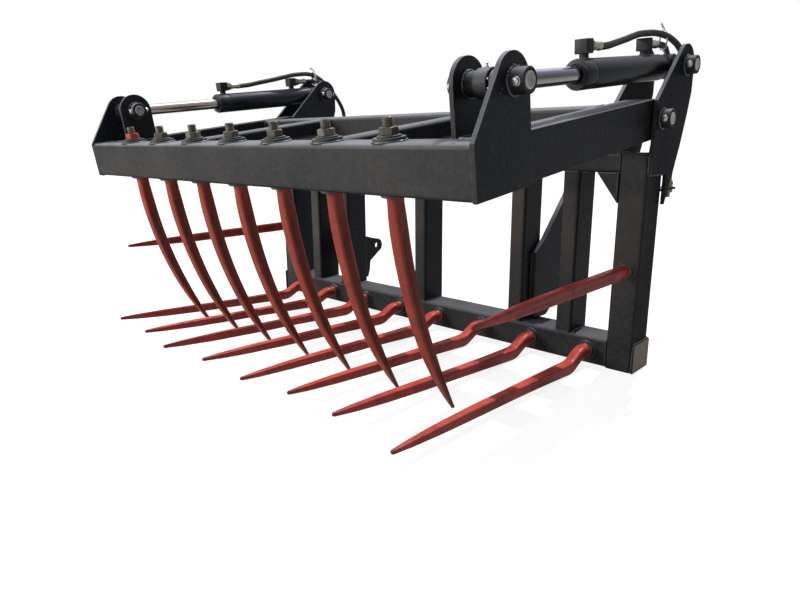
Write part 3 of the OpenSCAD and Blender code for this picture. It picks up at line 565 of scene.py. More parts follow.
# %% Chrome
def chrome_with_painted_reflection(name, bands):
    """Chrome with a painted reflection: bands of colour by the height of the normal stand for sky, horizon
    and ground mirrored in it. Each row is a height of the normal and a colour.
    """
    finish = metal(name, rgb(0.17, 0.175, 0.20), rgb(0.11, 0.105, 0.11), 0.4, 0.10,
                   0.12, scratch_scale=0.3)
    n = Nodes(finish.node_tree)
    shader = finish.node_tree.nodes["Principled BSDF"]
    plain = shader.inputs["Base Color"].links[0].from_socket
    ramp = n.add("ValToRGB", Fac=n.ranged(n.split("Normal")[2], -1.0, 1.0))
    stops = ramp.color_ramp.elements
    stops.remove(stops[1])
    stops[0].position = 0.0
    stops[0].color = rgb(*bands[0][1:])
    for rise, *colour in bands[1:]:
        stops.new((rise + 1) / 2).color = rgb(*colour)
    n.set(shader, Base_Color=n.mixed(0.8, plain, ramp.outputs[0]))
    return finish


# Bands from the rod's underside to its top: dark, the brown ground, the dark horizon, then blue and white
# sky, as a painted reflection. The left rod's bands are warmer and lighter.
chrome = chrome_with_painted_reflection("rod_chrome_plate", [
    (-1.0, 0.012, 0.012, 0.016), (-0.75, 0.020, 0.020, 0.024), (-0.5, 0.20, 0.185, 0.16),
    (-0.2, 0.13, 0.12, 0.115), (0.05, 0.018, 0.018, 0.030), (0.35, 0.050, 0.052, 0.085),
    (0.65, 0.14, 0.15, 0.23), (0.8, 0.50, 0.50, 0.68), (0.95, 0.30, 0.32, 0.45),
])
warm_chrome = chrome_with_painted_reflection("warm_chrome_plate", [
    (-1.0, 0.03, 0.025, 0.022), (-0.7, 0.06, 0.05, 0.045), (-0.45, 0.34, 0.28, 0.24),
    (-0.1, 0.25, 0.20, 0.17), (0.2, 0.16, 0.135, 0.12), (0.5, 0.42, 0.38, 0.36),
    (0.8, 0.75, 0.73, 0.74), (0.95, 0.50, 0.50, 0.54),
])
print("chrome: one for each rod")


# %% Rubber and nylon
def soft_finish(name, colour, dull_colour, roughness, weave_scale, weave, gloss=0.2):
    finish, n, shader = new_finish(name)
    patches = n.noise(30.0, 5.0)
    n.gloss(shader, gloss, gloss * 0.2)
    cloth = n.add("TexVoronoi", Vector=n.coords(), Scale=weave_scale).outputs[0]
    n.set(shader, Base_Color=n.mixed(n.ranged(patches, 0.35, 0.7), colour, dull_colour),
          Roughness=n.ranged(patches, 0.3, 0.7, roughness, roughness + 0.2),
          Normal=n.bump(weave, 0.0005, cloth))
    return finish


rubber = soft_finish("hose_rubber_cover", rgb(0.008, 0.0085, 0.011),
                     rgb(0.020, 0.020, 0.022), 0.34, 650.0, 0.3)
seal = soft_finish("seal_rubber", rgb(0.02, 0.02, 0.02), rgb(0.045, 0.04, 0.04), 0.5,
                   300.0, 0.1)
nylon = soft_finish("white_nylon", rgb(0.86, 0.86, 0.83), rgb(0.70, 0.69, 0.65), 0.35, 200.0,
                    0.1, 0.5)
print("soft: hose rubber, seal rubber, nylon")

# %% Which solid gets which finish
FINISH_OF_SLOT = {
    "frame_paint": charcoal, "tine_paint": tine_red, "yellow_zinc": zinc,
    "bare_steel": steel, "rod_chrome": chrome, "hose_rubber": rubber,
}
OWN_FINISH = {"upright_caps": foot_paint, "grab_tine_bushes": flange_paint}
slot_of_node = {part["node"]: part["material_slot"] for part in frame["record"]["subparts"]}
for node_name, solid in frame["nodes"].items():
    solid.data.materials.clear()
    general = FINISH_OF_SLOT[slot_of_node[node_name]]
    solid.data.materials.append(OWN_FINISH.get(node_name, general))
print("solids painted:", len(slot_of_node))

# %% [markdown]
# ## The stage
#
# The floor is a pale sheet that keeps a soft shadow, and the world behind it is white. The
# bands of light on the lower tines tell where the sun stood: behind the grab, high up, a little
# to the left. A broad lamp at the front left stands for the light that the ground threw back,
# and a bluish one above for the sky. The floor glows only where the camera or a reflection sees
# it, so that no more light falls on the grab.

# %% Floor and world
FLOOR_SIZE = 60.0
FLOOR_GLOW = 0.84
WORLD_LIGHT = 0.15
WHITE = rgb(1.0, 1.0, 1.0)


def seen_share(n, *kinds):
    """1 where a ray of one of these kinds looks at the surface, and 0 elsewhere."""
    rays = n.add("LightPath").outputs
    seen = rays[kinds[0]]
    for kind in kinds[1:]:
        seen = n.math("MAXIMUM", seen, rays[kind])
    return seen


floor_drawing = bmesh.new()
bmesh.ops.create_grid(floor_drawing, x_segments=2, y_segments=2, size=FLOOR_SIZE / 2)
floor_finish, n, shader = new_finish("pale_floor")
glow = n.times(seen_share(n, "Is Camera Ray", "Is Glossy Ray"), FLOOR_GLOW)
n.set(shader, Base_Color=rgb(0.30, 0.30, 0.30), Roughness=1.0, Specular_IOR_Level=0.0,
      Emission_Color=WHITE, Emission_Strength=glow)
floor = mesh_object("floor", floor_drawing, floor_finish, 1.0)
floor.location.z = -0.0005

world = bpy.data.worlds.new("white_world")
bpy.context.scene.world = world
world.use_nodes = True
world.node_tree.nodes.clear()
n = Nodes(world.node_tree)
seen = seen_share(n, "Is Camera Ray", "Is Glossy Ray", "Is Transmission Ray")
background = n.add("Background", Color=WHITE, Strength=n.ranged(seen, 0.0, 1.0, WORLD_LIGHT, 1.0))
n.add("OutputWorld", Surface=background.outputs[0])
bpy.context.scene.view_settings.view_transform = "Standard"
print("stage: floor and world")

# %% Lamps
MIDDLE = Vector((0, -0.2, 0.4))


def add_lamp(name, kind, place, power, tint, **extent):
    """A lamp at a place, turned towards the middle of the grab."""
    data = bpy.data.lights.new(name, kind)
    data.energy = power
    data.color = tint
    for key, value in extent.items():
        setattr(data, key, value)
    lamp = add_object(name, data)
    lamp.location = place
    lamp.rotation_euler = (MIDDLE - lamp.location).to_track_quat("-Z", "Y").to_euler()


add_lamp("sun", "SUN", (-0.45, 2.3, 5.2), 3.3, (1.0, 0.98, 0.95), angle=radians(0.6))
add_lamp("front_left_lamp", "AREA", (-2.6, -4.2, 1.6), 230, (1.0, 0.97, 0.92), size=1.8)
add_lamp("sky_lamp", "AREA", (-0.4, -0.6, 4.4), 70, (0.80, 0.90, 1.0), size=3.0)
print("lamps:", len(bpy.data.lights))

# %% [markdown]
# ## Hoses as rubber tubes
#
# The tube is a path of rings. Each hose replaces its solid and bends between the barrel and the frame. The
# left hoses are the right ones mirrored, but the front one hangs further back behind its plate, where the
# photograph shows it.

# %% Make the hoses
HOSE_RADIUS = 0.008
HOSE_STEPS = 14
HOSE_WELD = 0.0000005
BEND_START = Vector((0, 0.060, 0.850))
BEND_END = Vector((0, 0.180, 0.640))
SLACK_OF_SIDE = {"left": 0.050, "right": 0.0}


def slack(point, depth):
    """How much further back a loose hose hangs at a point of its route."""
    behind = min(1.0, max(0.0, point.y / 0.15))
    return depth * behind * exp(-(((point.z - 0.725) / 0.09) ** 2))


def hose(end, points, side, depth=0.0):
    sign = SIDES[side]
    points = [Vector((sign * point.x, point.y + slack(point, depth), point.z)) for point in points]
    drawing = tube(points, [HOSE_RADIUS] * len(points), Vector((1, 0, 0)), HOSE_STEPS, HOSE_WELD)
    piece = mesh_object("hose_" + end + "_" + side, drawing, rubber, 1.0)
    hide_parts(end + "_hose_" + side)
    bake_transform(piece, "barrel_" + side, "frame", start=BEND_START, end=BEND_END)
    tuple(points[0])
    route_length(points)


for side in SIDES:
    hose("front", front_points, side, SLACK_OF_SIDE[side])
    hose("rear", rear_points, side)
print("hoses:", [name for name in triangle_count if name.startswith("hose")])

# %% [markdown]
# ## Forged tines
#
# A tine is forged from square bar. Its root is round, to fit the bush, and its blade tapers to
# a blunt point. The curved tines have a groove along both flanks that saves weight. The section
# below is a circle that can be pulled towards a square, with its flanks drawn in. A station of
# a tine is its y, z, heading, thickness and squareness, and the depth of its groove if any.

# %% Section of a forging
TINE_STEPS = 36


def squared(turn, square):
    """Point of an outline half a unit wide: square 2 is round, and more is squarer."""
    side, rise = cos(turn), sin(turn)
    reach = (abs(side) ** square + abs(rise) ** square) ** (-1 / square)
    return side * reach, rise * reach


def share_at(table, share):
    """Reads a table of (place, value) shares, straight between its lines."""
    for (start, low), (end, high) in zip(table, table[1:]):
        if share <= end:
            return low + (high - low) * (share - start) / (end - start)
    return table[-1][1]


def forged_level(y, z, heading, thick, square, groove=0.0):
    """A level for one station, in the plane of the tine."""
    centre = Vector((0, y, z))
    up = Vector((0, sin(heading), cos(heading)))

    def level(turn):
        side, rise = squared(turn, square)
        side *= 1 - groove * exp(-((rise / 0.40) ** 2))
        return centre + Vector((1, 0, 0)) * (side * thick / 2) + up * (rise * thick / 2)

    return level


print("section of a square tine:", [round(v, 2) for v in squared(pi / 4, 4)])

# %% From stations to a tine
POINT_REACH = 4.0


def mark_wear(bm, tip, reach, groove_of):
    """Writes how worn and how hollow each point is."""
    worn = bm.verts.layers.float.new("worn")
    hollow = bm.verts.layers.float.new("hollow")
    turn_layer = bm.verts.layers.float["turn"]
    for vert in bm.verts:
        vert[worn] = max(0.0, 1 - (vert.co - tip).length / reach)
        flank = exp(-((sin(vert[turn_layer]) / 0.45) ** 2))
        vert[hollow] = flank * groove_of(vert.co)


def forge(name, solid, stations, finish, body, place, wear_reach, groove_of):
    """Makes a tine and closes its thin end with a rounded point."""
    y, z, heading, thick = stations[-1][:4]
    end = Vector((0, y, z))
    point = Vector((0, -cos(heading), sin(heading))) * POINT_REACH
    levels = [forged_level(*station) for station in stations]
    for share in (0.35, 0.65, 0.88):
        spot = end + point * share
        levels.append(forged_level(spot.y, spot.z, heading, thick * sqrt(1 - share * share), 2.0))
    tip = end + point
    tine = ringed(closed_ends(levels, Vector((0, *stations[0][:2])), tip), TINE_STEPS)
    mark_wear(tine, tip, wear_reach, groove_of)
    finish_piece(name, moved(tine, place), finish, body, solid)


print("a tine is forged from stations")

# %% [markdown]
# ## The seven curved tines
#
# Each one hangs from the front beam and bends back in one long arc. Its round root and its
# point are full, and the groove runs between them.

# %% Curved tines
BEAM_REACH = 743
UPPER_THICK = 32
UPPER_RADIUS = 1152
UPPER_SWEEP = radians(26.8)
UPPER_STEPS = 44
NECK = -69
TINE_SPACING = 180
UPPER_TAPER = [(0, 1.03), (0.33, 1), (0.66, 0.95), (0.8, 0.80), (0.92, 0.54), (1, 0.30)]
UPPER_GROOVE = [(0, 0), (0.05, 0.10), (0.12, 0.26), (0.6, 0.26), (0.82, 0.16), (0.93, 0)]
upper_xs = [(index - 3) * TINE_SPACING for index in range(7)]


def upper_stations():
    stations = [(-BEAM_REACH, NECK + above, -pi / 2, thick, square) for above, thick, square in
                ((14, 35.5, 2.0), (7.5, 35.5, 2.0), (5, 34.0, 2.2))]
    for index in range(UPPER_STEPS + 1):
        share = index / UPPER_STEPS
        angle = UPPER_SWEEP * share
        stations.append((UPPER_RADIUS * (1 - cos(angle)) - BEAM_REACH, NECK - UPPER_RADIUS * sin(angle),
                         angle - pi / 2, UPPER_THICK * share_at(UPPER_TAPER, share),
                         2.4 + 2.2 * min(1, share * 9), share_at(UPPER_GROOVE, share)))
    return stations


for number, x in enumerate(upper_xs, 1):
    forge(f"curved_tine_{number}", f"upper_tine_{number}", upper_stations(), shaded_brick_red, "grab",
          on_grab @ at(x, 0, 0), 70, lambda co: min(1, max(0, (-co.z - 90) / 60)))
print("curved tines:", len(upper_xs), "triangles each:", triangle_count["curved_tine_1"])

# %% [markdown]
# ## The eight lower tines
#
# A lower tine drops in a short crank so that the blade runs low, and then rises a little to
# the point. The crank is two bends with a straight between them. No two tines are bent quite
# alike, so each has its own reach and rise, by up to 19 millimetres, as in the photograph.

# %% Lower tines
ROOT_Z = 42.0
BLADE_Z = 16.5
TIP_Z = 50.0
TIP_Y = -842.0
CRANK_START = -78.0
CRANK_RADIUS = 70.0
CRANK_ANGLE = radians(24)
CRANK_STEPS = 10
BLADE_STEPS = 26
ROOT_THICK = 36.0
CRANK_THICK = 32.0
BLADE_TAPER = [(0, 1), (0.2, 0.88), (0.35, 0.81), (0.62, 0.75), (0.78, 0.66), (0.92, 0.48),
               (1, 0.28)]
TIP_FORWARD = [-16, -13, 19, 0, 0, -11, 7, 15]
TIP_DOWN = [-11, -4, -3, -2, 6, -3, -10, 11]
lower_xs = [(index - 3.5) * TINE_SPACING for index in range(8)]
blade_rise = atan2(TIP_Z - BLADE_Z, 624)
crank_fall = CRANK_RADIUS * (1 + cos(blade_rise) - 2 * cos(CRANK_ANGLE))
crank_straight = (ROOT_Z - BLADE_Z - crank_fall) / sin(CRANK_ANGLE)
crank_mid = CRANK_START - CRANK_RADIUS * sin(CRANK_ANGLE)
crank_low = crank_mid - crank_straight * cos(CRANK_ANGLE)
blade_start = crank_low - CRANK_RADIUS * (sin(CRANK_ANGLE) + sin(blade_rise))


def lower_stations(tip_y, tip_z):
    stations = [(y, ROOT_Z, 0.0, thick, square) for y, thick, square in
                ((-50, 35.6, 2.0), (-64, 35.6, 2.0), (-67, 33.0, 2.1), (-72, 34.5, 2.6))]
    for index in range(CRANK_STEPS + 1):
        angle = CRANK_ANGLE * index / CRANK_STEPS
        thick = ROOT_THICK - (ROOT_THICK - CRANK_THICK) * index / CRANK_STEPS
        stations.append((CRANK_START - CRANK_RADIUS * sin(angle),
                         ROOT_Z - CRANK_RADIUS * (1 - cos(angle)), -angle, thick, 3.0 + index * 0.12))
    for index in range(CRANK_STEPS + 1):
        angle = -CRANK_ANGLE + (CRANK_ANGLE + blade_rise) * index / CRANK_STEPS
        stations.append((crank_low - CRANK_RADIUS * (sin(CRANK_ANGLE) + sin(angle)),
                         BLADE_Z + CRANK_RADIUS * (cos(blade_rise) - cos(angle)), angle, CRANK_THICK,
                         4.2 + 0.38 * index))
    for index in range(1, BLADE_STEPS + 1):
        share = index / BLADE_STEPS
        bend = share * share * (tip_z - TIP_Z)
        stations.append((blade_start + share * (tip_y + POINT_REACH - blade_start),
                         BLADE_Z + share * (TIP_Z - BLADE_Z) + bend, blade_rise,
                         CRANK_THICK * share_at(BLADE_TAPER, share), 8.0 - 12.0 * max(0.0, share - 0.7)))
    return stations


for number, (x, forward, down) in enumerate(zip(lower_xs, TIP_FORWARD, TIP_DOWN), 1):
    forge(f"straight_tine_{number}", f"lower_tine_{number}",
          lower_stations(TIP_Y - forward, TIP_Z - down), tine_red, "frame", at(x, 0, 0), 40,
          lambda co: 0.0)
print("lower tines:", len(lower_xs), "blade starts at", round(blade_start, 1))

# %% [markdown]
# ## The two side tines
#
# They stand in the end uprights and keep the silage from falling out at the sides. They are
# straight, with a shallow groove along each flank.

# %% Side tines
SIDE_X = 723.5
SIDE_Z = 280.0
SIDE_TIP_Y = -732.0
SIDE_THICK = 34.0
SIDE_STEPS = 36
SIDE_TAPER = [(0, 1), (0.3, 0.9), (0.6, 0.84), (0.8, 0.66), (0.93, 0.42), (1, 0.24)]
SIDE_GROOVE = [(0, 0), (0.08, 0), (0.16, 0.16), (0.7, 0.16), (0.85, 0)]


def side_stations():
    stations = [(-50, 0, 0.0, 33.6, 2.0), (-64, 0, 0.0, 33.6, 2.0), (-67, 0, 0.0, 31.0, 2.1)]
    for index in range(SIDE_STEPS + 1):
        share = index / SIDE_STEPS
        stations.append((-71 + share * (SIDE_TIP_Y + POINT_REACH + 71), 0, 0.0,
                         SIDE_THICK * share_at(SIDE_TAPER, share), 2.6 + 1.6 * min(1, share * 8),
                         share_at(SIDE_GROOVE, share)))
    return stations


for side, sign in SIDES.items():
    forge("guard_tine_" + side, "side_tine_" + side, side_stations(), tine_red, "frame",
          at(sign * SIDE_X, 0, SIDE_Z), 50, lambda co: 0.7 if -600 < co.y < -130 else 0.0)
print("side tines made")

# %% [markdown]
# ## Turned and hexagonal parts
#
# Pins, washers and collars are turned, so each is a profile of radius and height carried
# round. A nut is a hexagon whose corners are cut by a cone, and a thread follows a helix.

# %% Lathe, nut and thread
def round_level(height, radius_at):
    """A level round Z whose radius depends on the turn."""
    def level(turn):
        radius = radius_at(turn)
        return Vector((radius * cos(turn), radius * sin(turn), height))

    return level


def circle(radius, height):
    return round_level(height, lambda turn: radius)


def lathe(profile, steps=32):
    """Carries a profile of (radius, height) round Z."""
    return ringed([circle(*row) for row in profile], steps)


def ring_stock(profile, steps=32):
    """Stock of a closed profile, for rings and washers."""
    return stock(lathe([*profile, profile[0]], steps))


def hexagon(flats, limit, height):
    """A hexagon measured across its flats, whose corners are cut at a limit of its radius."""
    def radius_at(turn):
        past_corner = turn % (pi / 3) - pi / 6
        return min(flats / 2 / cos(past_corner), limit * flats / 2)

    return round_level(height, radius_at)


def hex_nut(flats, height, bore, steps=36):
    """A nut from 0 to height, with chamfered corners and a countersunk bore."""
    cone = [(0.965, 0.0), (1.03, 0.035), (1.09, 0.07), (1.16, 0.11)]
    limits = [(limit, share * height) for limit, share in cone]
    limits += [(limit, height - z) for limit, z in reversed(limits)]
    rim = bore * 1.12
    inside = [circle(bore, height / 2), circle(bore, height * 0.06), circle(rim, 0.0)]
    outside = [hexagon(flats, limit, z) for limit, z in limits]
    back = [circle(rim, height), circle(bore, height * 0.94), circle(bore, height / 2)]
    return ringed(inside + outside + back, steps)


def thread(radius, length, pitch, depth, steps=24):
    """A threaded end along Z from 0, chamfered at the top."""
    levels = [circle(0, 0)]
    count = max(4, round(length / pitch * 5))
    for index in range(count + 1):
        z = length * index / count
        fade = min(1.0, (length - z) / pitch)

        def radius_at(turn, z=z, fade=fade):
            wave = 0.5 + 0.5 * cos(2 * pi * z / pitch - turn)
            return radius - depth * wave - 1.2 * (1 - fade)

        levels.append(round_level(z, radius_at))
    return ringed(levels + [circle(0, length)], steps)


tine_nut = stock(hex_nut(34, 15, 10.3))
tine_thread = stock(thread(11, 38, 2.5, 1.1))
tine_washer = ring_stock([(11.2, 0), (23.2, 0), (24, 0.8), (24, 3.2), (23.2, 4), (11.2, 4)])
print("stock: nut", len(tine_nut.polygons), "thread", len(tine_thread.polygons))

# %% [markdown]
# ## Nuts, washers and threaded ends
#
# Each tine is pulled into its bush by one large nut. No two nuts end at the same turn, so each
# gets its own. The nut at the far left of the grab was painted red with its tine.

# %% Fasten the tines
rng = random.Random(7)
GRAB_FLANGE_TOP = 58
WASHER_THICK = 4
BUSHES = [(x, ROOT_Z) for x in lower_xs] + [(sign * SIDE_X, SIDE_Z) for sign in SIDES.values()]


def bush_places(y, direction):
    """A place at each of the frame's bushes."""
    return [at(x, y, z) @ direction for x, z in BUSHES]


def any_turn(most):
    return turned_about(rng.uniform(0, most), "Z")


def fastened(prefix, spots, body, nut_finish):
    solid = body + "_tine_nuts"
    nut_places = [spot @ at(0, 0, WASHER_THICK) @ any_turn(60) for spot in spots]
    thread_places = [spot @ any_turn(360) for spot in spots]
    finish_piece(prefix + "_washers", many_copies(tine_washer, spots), flange_paint, body, solid)
    finish_piece(prefix + "_nuts", many_copies(tine_nut, nut_places), nut_finish, body, solid)
    finish_piece(prefix + "_threads", many_copies(tine_thread, thread_places), old_zinc, body)


grab_spots = [on_grab @ at(x, -BEAM_REACH, GRAB_FLANGE_TOP) for x in upper_xs]
fastened("red_grab", grab_spots[:1], "grab", tine_red)
fastened("grab", grab_spots[1:], "grab", old_zinc)
fastened("frame", bush_places(50, TO_BACK), "frame", old_zinc)
print("fastened:", len(grab_spots) + len(BUSHES), "tines")

# %% [markdown]
# ## Bush lips
#
# Each forged root sits in a turned bush, and a thin lip of the bush's zinc-plated liner shows
# round it as a bright ring.

# %% Lips of the bushes
lip = ring_stock([(18.1, -1), (19.6, -1), (20, 0.4), (19.7, 1.3), (18.8, 1.8), (18.1, 1.2)], 36)
lip_places = bush_places(-57, TO_FRONT)
low_lip_places = [on_grab @ at(x, -BEAM_REACH, -55) @ turned_about(180, "X") for x in upper_xs]
finish_piece("bush_lips", many_copies(lip, lip_places), zinc, "frame")
finish_piece("grab_bush_lips", many_copies(lip, low_lip_places), zinc, "grab")
print("lips:", len(lip_places) + len(low_lip_places))

# %% [markdown]
# ## Hinge pins and their collars
#
# A collar is welded to each plate round the pin, and a small bolt through collar and pin keeps
# the pin from turning. The pin's end shows a chamfer and the mark of the lathe's centre.

# %% Pins and collars
PIN_RADIUS = 17.0
COLLAR_RADIUS = 23.0
COLLAR_LENGTH = 26.0


def pin(start, end, *waist):
    """A pin with a centre mark and a chamfer at both ends."""
    half = [(0, 2.5), (2.5, 0.4), (4.2, 0.1), (PIN_RADIUS - 3.2, 0), (PIN_RADIUS - 0.4, 2.4),
            (PIN_RADIUS, 3.2)]
    inner = [(radius, start + z) for radius, z in half]
    outer = [(radius, end - z) for radius, z in reversed(half)]
    return stock(lathe([*inner, *waist, *outer], 40))


def collar_of(length):
    inner, outer = PIN_RADIUS + 0.3, COLLAR_RADIUS
    return ring_stock([
        (inner, 0), (outer, 0), (outer, length - 2.0), (outer - 0.6, length - 0.7),
        (outer - 2.0, length), (inner + 1.0, length), (inner, length - 0.9),
    ], 40)


collar, long_collar = collar_of(COLLAR_LENGTH), collar_of(COLLAR_LENGTH + 6)
hinge_pin = pin(633, 797)
rod_pin = pin(635, 799, (PIN_RADIUS, 693.5), (PIN_RADIUS - 1, 694), (7, 694), (7, 726),
              (PIN_RADIUS - 1, 726), (PIN_RADIUS, 726.5))
boss_in = ring_stock([(17.3, 671), (23, 671), (23, 692.6), (22, 693.8), (17.3, 693.8)], 40)
boss_out = ring_stock([(17.3, 726.2), (22, 726.2), (23, 727.4), (23, 756), (17.3, 756)], 40)
print("collars", COLLAR_LENGTH, "and", COLLAR_LENGTH + 6, "long")

# %% Bolts through the collars
BOLT_SEAT = COLLAR_RADIUS - 0.2
BOLT_WASHER_THICK = 1.2
PLATE_FACES = (659, 771)
EAR_FACES = (661, 766)
PLATE_BOLTS = (646, 784)
EAR_BOLTS = (648, 784)
bolt_head = stock(hex_nut(13, 5.3, 0.1, 24))
bolt_nut = stock(hex_nut(13, 6.4, 4.1, 24))
bolt_washer = ring_stock([(4.2, 0), (8.0, 0), (8.4, 0.5), (8.0, 1.2), (4.2, 1.2)], 24)
bolt_end = stock(lathe([(0, -3), (4, -3), (4, 9.4), (3.2, 10.4), (0, 10.4)], 16))


def bolt_set(target, axis, sign, distances):
    """Head in front, nut behind, for each bolt that crosses the pin."""
    for x in (sign * distance for distance in distances):
        front = axis @ at(x, -BOLT_SEAT, 0) @ TO_FRONT
        back = axis @ at(x, BOLT_SEAT, 0) @ TO_BACK
        for place, shape in ((front, bolt_head), (back, bolt_nut)):
            add_copy(target, bolt_washer, place)
            add_copy(target, shape, place @ at(0, 0, BOLT_WASHER_THICK) @ any_turn(60))
        add_copy(target, bolt_end, back)


def along_x(sign, axis, x=0):
    """Z of a stock shape turned to point outwards along X, starting at x."""
    return axis @ at(sign * x, 0, 0) @ turned_about(90 * sign, "Y")


def collar_pair(target, axis, sign, faces, outer_collar):
    """A collar inside and one outside of the two plates that carry a pin."""
    add_copy(target, outer_collar, along_x(sign, axis, faces[1]))
    add_copy(target, collar, along_x(-sign, axis, -faces[0]))


frame_collars, frame_bolts, grab_collars, grab_bolts = (bmesh.new() for _ in range(4))
for sign in SIDES.values():
    for axis in (arm_axis, base_axis):
        collar_pair(frame_collars, axis, sign, PLATE_FACES, collar)
        bolt_set(frame_bolts, axis, sign, PLATE_BOLTS)
    collar_pair(grab_collars, rod_axis, sign, EAR_FACES, long_collar)
    bolt_set(grab_bolts, rod_axis, sign, EAR_BOLTS)
    for boss in (boss_in, boss_out):
        add_copy(grab_collars, boss, along_x(sign, rod_axis))


def pins(shape, axis):
    return many_copies(shape, [along_x(sign, axis) for sign in SIDES.values()])


for name, drawing, finish, body, solid in (
        ("frame_collars", frame_collars, charcoal, "frame", "frame_pin_collars"),
        ("grab_collars", grab_collars, charcoal, "grab", "ear_collars"),
        ("frame_bolts", frame_bolts, steel, "frame", "frame_pin_bolts"),
        ("grab_bolts", grab_bolts, steel, "grab", "ear_pin_bolts"),
        ("arm_pins", pins(hinge_pin, arm_axis), pin_steel, "frame", "arm_pivot_pins"),
        ("cylinder_base_pins", pins(hinge_pin, base_axis), pin_steel, "frame", "base_pins"),
        ("rod_end_pins", pins(rod_pin, rod_axis), pin_steel, "grab", "rod_pins")):
    finish_piece(name, drawing, finish, body, solid)
print("pins, collars and bolts finished")

# %% [markdown]
# ## The cylinders
#
# The barrel is a thick tube with an eye at its closed end, and a gland is screwed into its open
# end. A black wiper in the gland cleans the chromed rod, which has its own eye.

# %% Barrels, glands and rods
BARREL_PROFILE = [
    (0, 16), (22, 16), (24, 34), (25.2, 47.5), (30.5, 48), (32.5, 50.5), (32.5, 431.2),
    (31.6, 433.6), (27.5, 433.6), (27.5, 66), (0, 66),
]
GLAND_PROFILE = [
    (18.2, 434), (30.6, 434), (30.6, 437), (32.5, 438), (32.5, 474.5), (30.2, 478.6),
    (22.4, 479), (21.2, 477.2), (18.2, 477.2), (18.2, 434),
]
WIPER_PROFILE = [
    (17.8, 474), (20.9, 474), (20.9, 478.2), (19.2, 480.0), (18.0, 480.8), (17.8, 479.5),
    (17.8, 474),
]
ROD_PROFILE = [(0, 440), (17.5, 440), (17.5, 762), (17.0, 764), (14.6, 766), (14.6, 780.4), (0, 780.4)]
CHROME_OF_SIDE = {"left": warm_chrome, "right": chrome}


def eye_ring(outer, inner, half):
    """A ring round X, with chamfered rims."""
    return moved(lathe([
        (inner, -half), (outer - 1.5, -half), (outer, 1.5 - half), (outer, half - 1.5),
        (outer - 1.5, half), (inner, half), (inner, -half),
    ], 40), TO_X)


def add_once(target, bm):
    """Moves one drawing into another."""
    shape = stock(bm)
    target.from_mesh(shape)
    bpy.data.meshes.remove(shape)


for side, place in on_cylinder.items():
    barrel, gland, rod = (moved(lathe(profile, 48), TO_FRONT) for profile in
                          (BARREL_PROFILE, GLAND_PROFILE, ROD_PROFILE))
    wiper = moved(lathe(WIPER_PROFILE, 40), TO_FRONT)
    add_once(barrel, eye_ring(31, 17.2, 28))
    rod_eye = moved(eye_ring(27, 24, 15), at(0, -ROD_EYE_REACH, 0))
    barrel_body, rod_body = "barrel_" + side, "rod_" + side
    for name, drawing, finish, body, solids in (
            ("cylinder_barrel_", barrel, barrel_paint, barrel_body, ["barrel_" + side]),
            ("cylinder_gland_", gland, barrel_paint, barrel_body, ["gland_" + side]),
            ("rod_wiper_", wiper, seal, barrel_body, []),
            ("chromed_rod_", rod, CHROME_OF_SIDE[side], rod_body, ["piston_rod_" + side]),
            ("rod_eye_", rod_eye, charcoal, rod_body, [])):
        finish_piece(name + side, moved(drawing, place), finish, body, *solids)
print("cylinders made")

# %% [markdown]
# ## Ports, nuts and ferrules
#
# Oil enters each end of a barrel through a square block on a short neck. The hose nut is
# screwed into the block's rear face, and the ferrule behind it was crimped in eight jaws.

# %% Port fittings
PORTS = (445, 130)
PORT_HEIGHT = 56.5
PORT_HALF = 15.0
HOSE_NUT_LENGTH = 17
FERRULE_LENGTH = 40
FERRULE_LEVELS = [
    (0, 0, 0), (8.4, 0, 0), (8.6, 3, 0), (10.5, 4, 0), (10.5, 7.5, 0), (9.6, 8.5, 0.02),
    (9.4, 11, 0.05), (9.4, 30, 0.05), (9.8, 33, 0.02), (10.4, 34, 0), (10.4, 38.6, 0),
    (9.6, 40, 0), (8.2, 40, 0), (8.1, 37, 0), (0, 37, 0),
]


def crimped_level(radius, z, flats):
    return round_level(z, lambda turn: radius * (1 - flats * (0.5 + 0.5 * cos(8 * turn))))


def rounded_block(size, offset, segments):
    block = bmesh.new()
    bmesh.ops.create_cube(block, size=1)
    bmesh.ops.scale(block, vec=size, verts=block.verts)
    bmesh.ops.bevel(block, geom=block.edges[:], offset=offset, segments=segments, profile=0.5,
                    affect="EDGES", material=-1)
    return block


port_block = stock(rounded_block([2 * PORT_HALF] * 3, 1.6, 3))
port_neck = stock(lathe([(0, 26), (12.4, 29), (12.4, 31.5), (10, 33.5), (10, 41.9), (0, 41.9)], 32))
hose_nut = stock(hex_nut(24, HOSE_NUT_LENGTH, 6))
ferrule = stock(ringed([crimped_level(*line) for line in FERRULE_LEVELS], 48))
for side, place in on_cylinder.items():
    starts = [place @ at(0, -port + PORT_HALF, PORT_HEIGHT) @ TO_BACK for port in PORTS]
    for name, shape, places, finish, solids in (
            ("port_blocks_", port_block, [place @ at(0, -port, PORT_HEIGHT) for port in PORTS],
             charcoal, ["port_fittings_" + side]),
            ("port_necks_", port_neck, [place @ at(0, -port, 0) for port in PORTS], charcoal, []),
            ("hose_nuts_", hose_nut, [start @ turned_about(12, "Z") for start in starts], zinc,
             ["port_fittings_" + side]),
            ("ferrules_", ferrule, [start @ at(0, 0, HOSE_NUT_LENGTH) for start in starts],
             dull_zinc, [])):
        finish_piece(name + side, many_copies(shape, places), finish, "barrel_" + side, *solids)
print("ports fitted")

